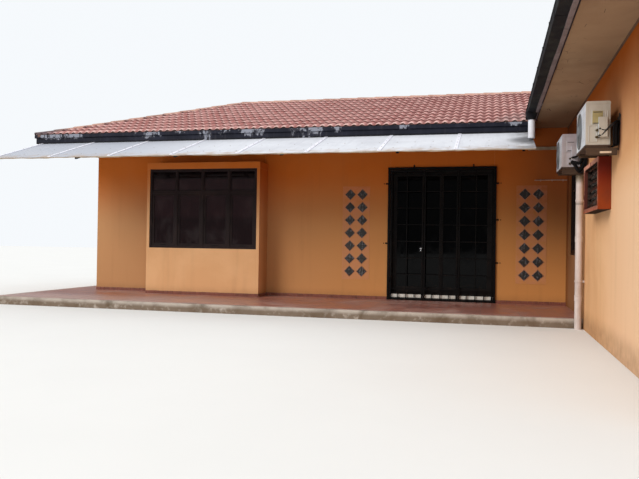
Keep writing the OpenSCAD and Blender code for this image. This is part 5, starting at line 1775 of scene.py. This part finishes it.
threads += [boxPart((near, boxY + rim, z), (far, boxEndY - rim, z + 2 * thread))
            for z in np.arange(boxZ + 0.03, boxTop - 0.03, louvre["mesh"])]
clipMetal = makePainted("clipMetal", (74, 62, 54), (46, 34, 28), (112, 100, 90), 0.6, 0.4, 0.2, 0.3, 8.0)
meshMetal = makePainted("meshMetal", (150, 144, 138), (96, 84, 74), (180, 176, 170), 0.6, 0.5, 0.2, 0.3, 6.0)
makePiece("louvreClips", clips, clipMetal, bevel=0.0008)
makePiece("flyScreen", threads, meshMetal)

# Broken render round the pipe holes: a ragged rim, its radius a sum of four sines round the hole, and a sunk
# bottom, coloured nearly black as painted shade of the deep hole
crater = {
    # Middle of each hole along the wall and up, and its radius
    "holes": ((-5.13, 2.61, 0.085), (-2.70, 2.66, 0.070)),
    "sides": 72,
    "rings": ((0.002, 1.10), (-0.002, 1.06), (-0.0050, 0.96), (-0.0035, 0.84), (-0.0010, 0.76)),
    "stretch": 1.15,
}


def craterPart(y, z, radius):
    angles = turnOf(crater["sides"])
    ragged = 1 + 0.16 * np.sin(3 * angles + y) + 0.10 * np.sin(7 * angles + 2) + 0.06 * np.sin(13 * angles)
    ragged += 0.04 * np.sin(29 * angles)
    rings = []
    for out, share in crater["rings"]:
        reach = radius * share * ragged
        along, up = y + crater["stretch"] * reach * np.cos(angles), z + reach * np.sin(angles)
        rings.append(np.stack([np.full(len(angles), out), along, up], axis=1))
    return loftPart(rings)


brokenRenderShade = makePainted("brokenRenderShade", (44, 32, 26), (18, 14, 12), (104, 74, 54), 0.95, 0.8, 0.4, 0.5,
                           9.0, 0.003)
makePiece("holeRims", [craterPart(*hole) for hole in crater["holes"]], brokenRenderShade)
print("wall details made")

# Camera: worked out from the photograph's vanishing points
view = {
    "place": (-1.365, -13.2, 1.2126),
    "right": (0.96985, 0.24319, 0.01550),
    "up": (-0.01347, -0.00998, 0.99986),
    "forward": (-0.24332, 0.96993, 0.00641),
    "sensor": 36.0,
    "lens": 38.31,
}
camera = bpy.data.objects.new("camera", bpy.data.cameras.new("camera"))
scene.collection.objects.link(camera)
scene.camera = camera
turned = Matrix((view["right"], view["up"], [-value for value in view["forward"]])).transposed()
camera.matrix_world = Matrix.Translation(view["place"]) @ turned.to_4x4()
camera.data.sensor_width, camera.data.lens = view["sensor"], view["lens"]
camera.data.clip_end = 400

# Pale floor, white surround and a soft studio light from the front left
floorMesh = bpy.data.meshes.new("floor")
floorMesh.from_pydata([(-90, -90, 0), (90, -90, 0), (90, 90, 0), (-90, 90, 0)], [], [[0, 1, 2, 3]])
floor = bpy.data.objects.new("floor", floorMesh)
scene.collection.objects.link(floor)
paleFloor = Coat("studioFloor", 0.85, 1.0, {"body": (228, 227, 224), "pale": (234, 233, 230)}, specular=0.1)
paleFloor.over(paleFloor.noise(0.6), "pale")
paleFloor.plug("Base Color", paleFloor.colour)
floorMesh.materials.append(paleFloor.material)

# Soft dome: dim at the horizon and bright overhead; the camera sees plain pale surroundings
dome = {"horizon": 0.16, "zenith": 1.25, "seen": 0.98, "colour": (0.94, 0.97, 1.0, 1.0)}
world = bpy.data.worlds.new("studio")
scene.world = world
world.use_nodes = True
sky = world.node_tree
sky.nodes.clear()
upward = axes(newField(sky, "ShaderNodeTexCoord", "Generated"))[2]
lit = between(upward, -0.1, 1.0) * (dome["zenith"] - dome["horizon"]) + dome["horizon"]
seen = newField(sky, "ShaderNodeLightPath", "Is Camera Ray")
strength = newField(sky, "ShaderNodeMix", 0, {0: seen, 2: lit, 3: dome["seen"]}, data_type="FLOAT")
ambient = addNode(sky, "ShaderNodeBackground", {"Color": dome["colour"], "Strength": strength})
addNode(sky, "ShaderNodeOutputWorld", {"Surface": ambient.outputs[0]})


def addSun(name, energy, angle, colour, aim):
    sun = bpy.data.objects.new(name, bpy.data.lights.new(name, "SUN"))
    sun.data.energy, sun.data.angle, sun.data.color = energy, math.radians(angle), colour
    sun.rotation_mode = "QUATERNION"
    sun.rotation_quaternion = Vector(aim).to_track_quat("-Z", "Y")
    scene.collection.objects.link(sun)


addSun("key", 1.9, 30, (1.0, 0.97, 0.93), (0.62, 0.78, -0.56))
addSun("fill", 0.25, 60, (0.95, 0.97, 1.0), (-0.5, 0.8, -0.25))
scene.view_settings.view_transform = "Standard"
print("camera and lights set")
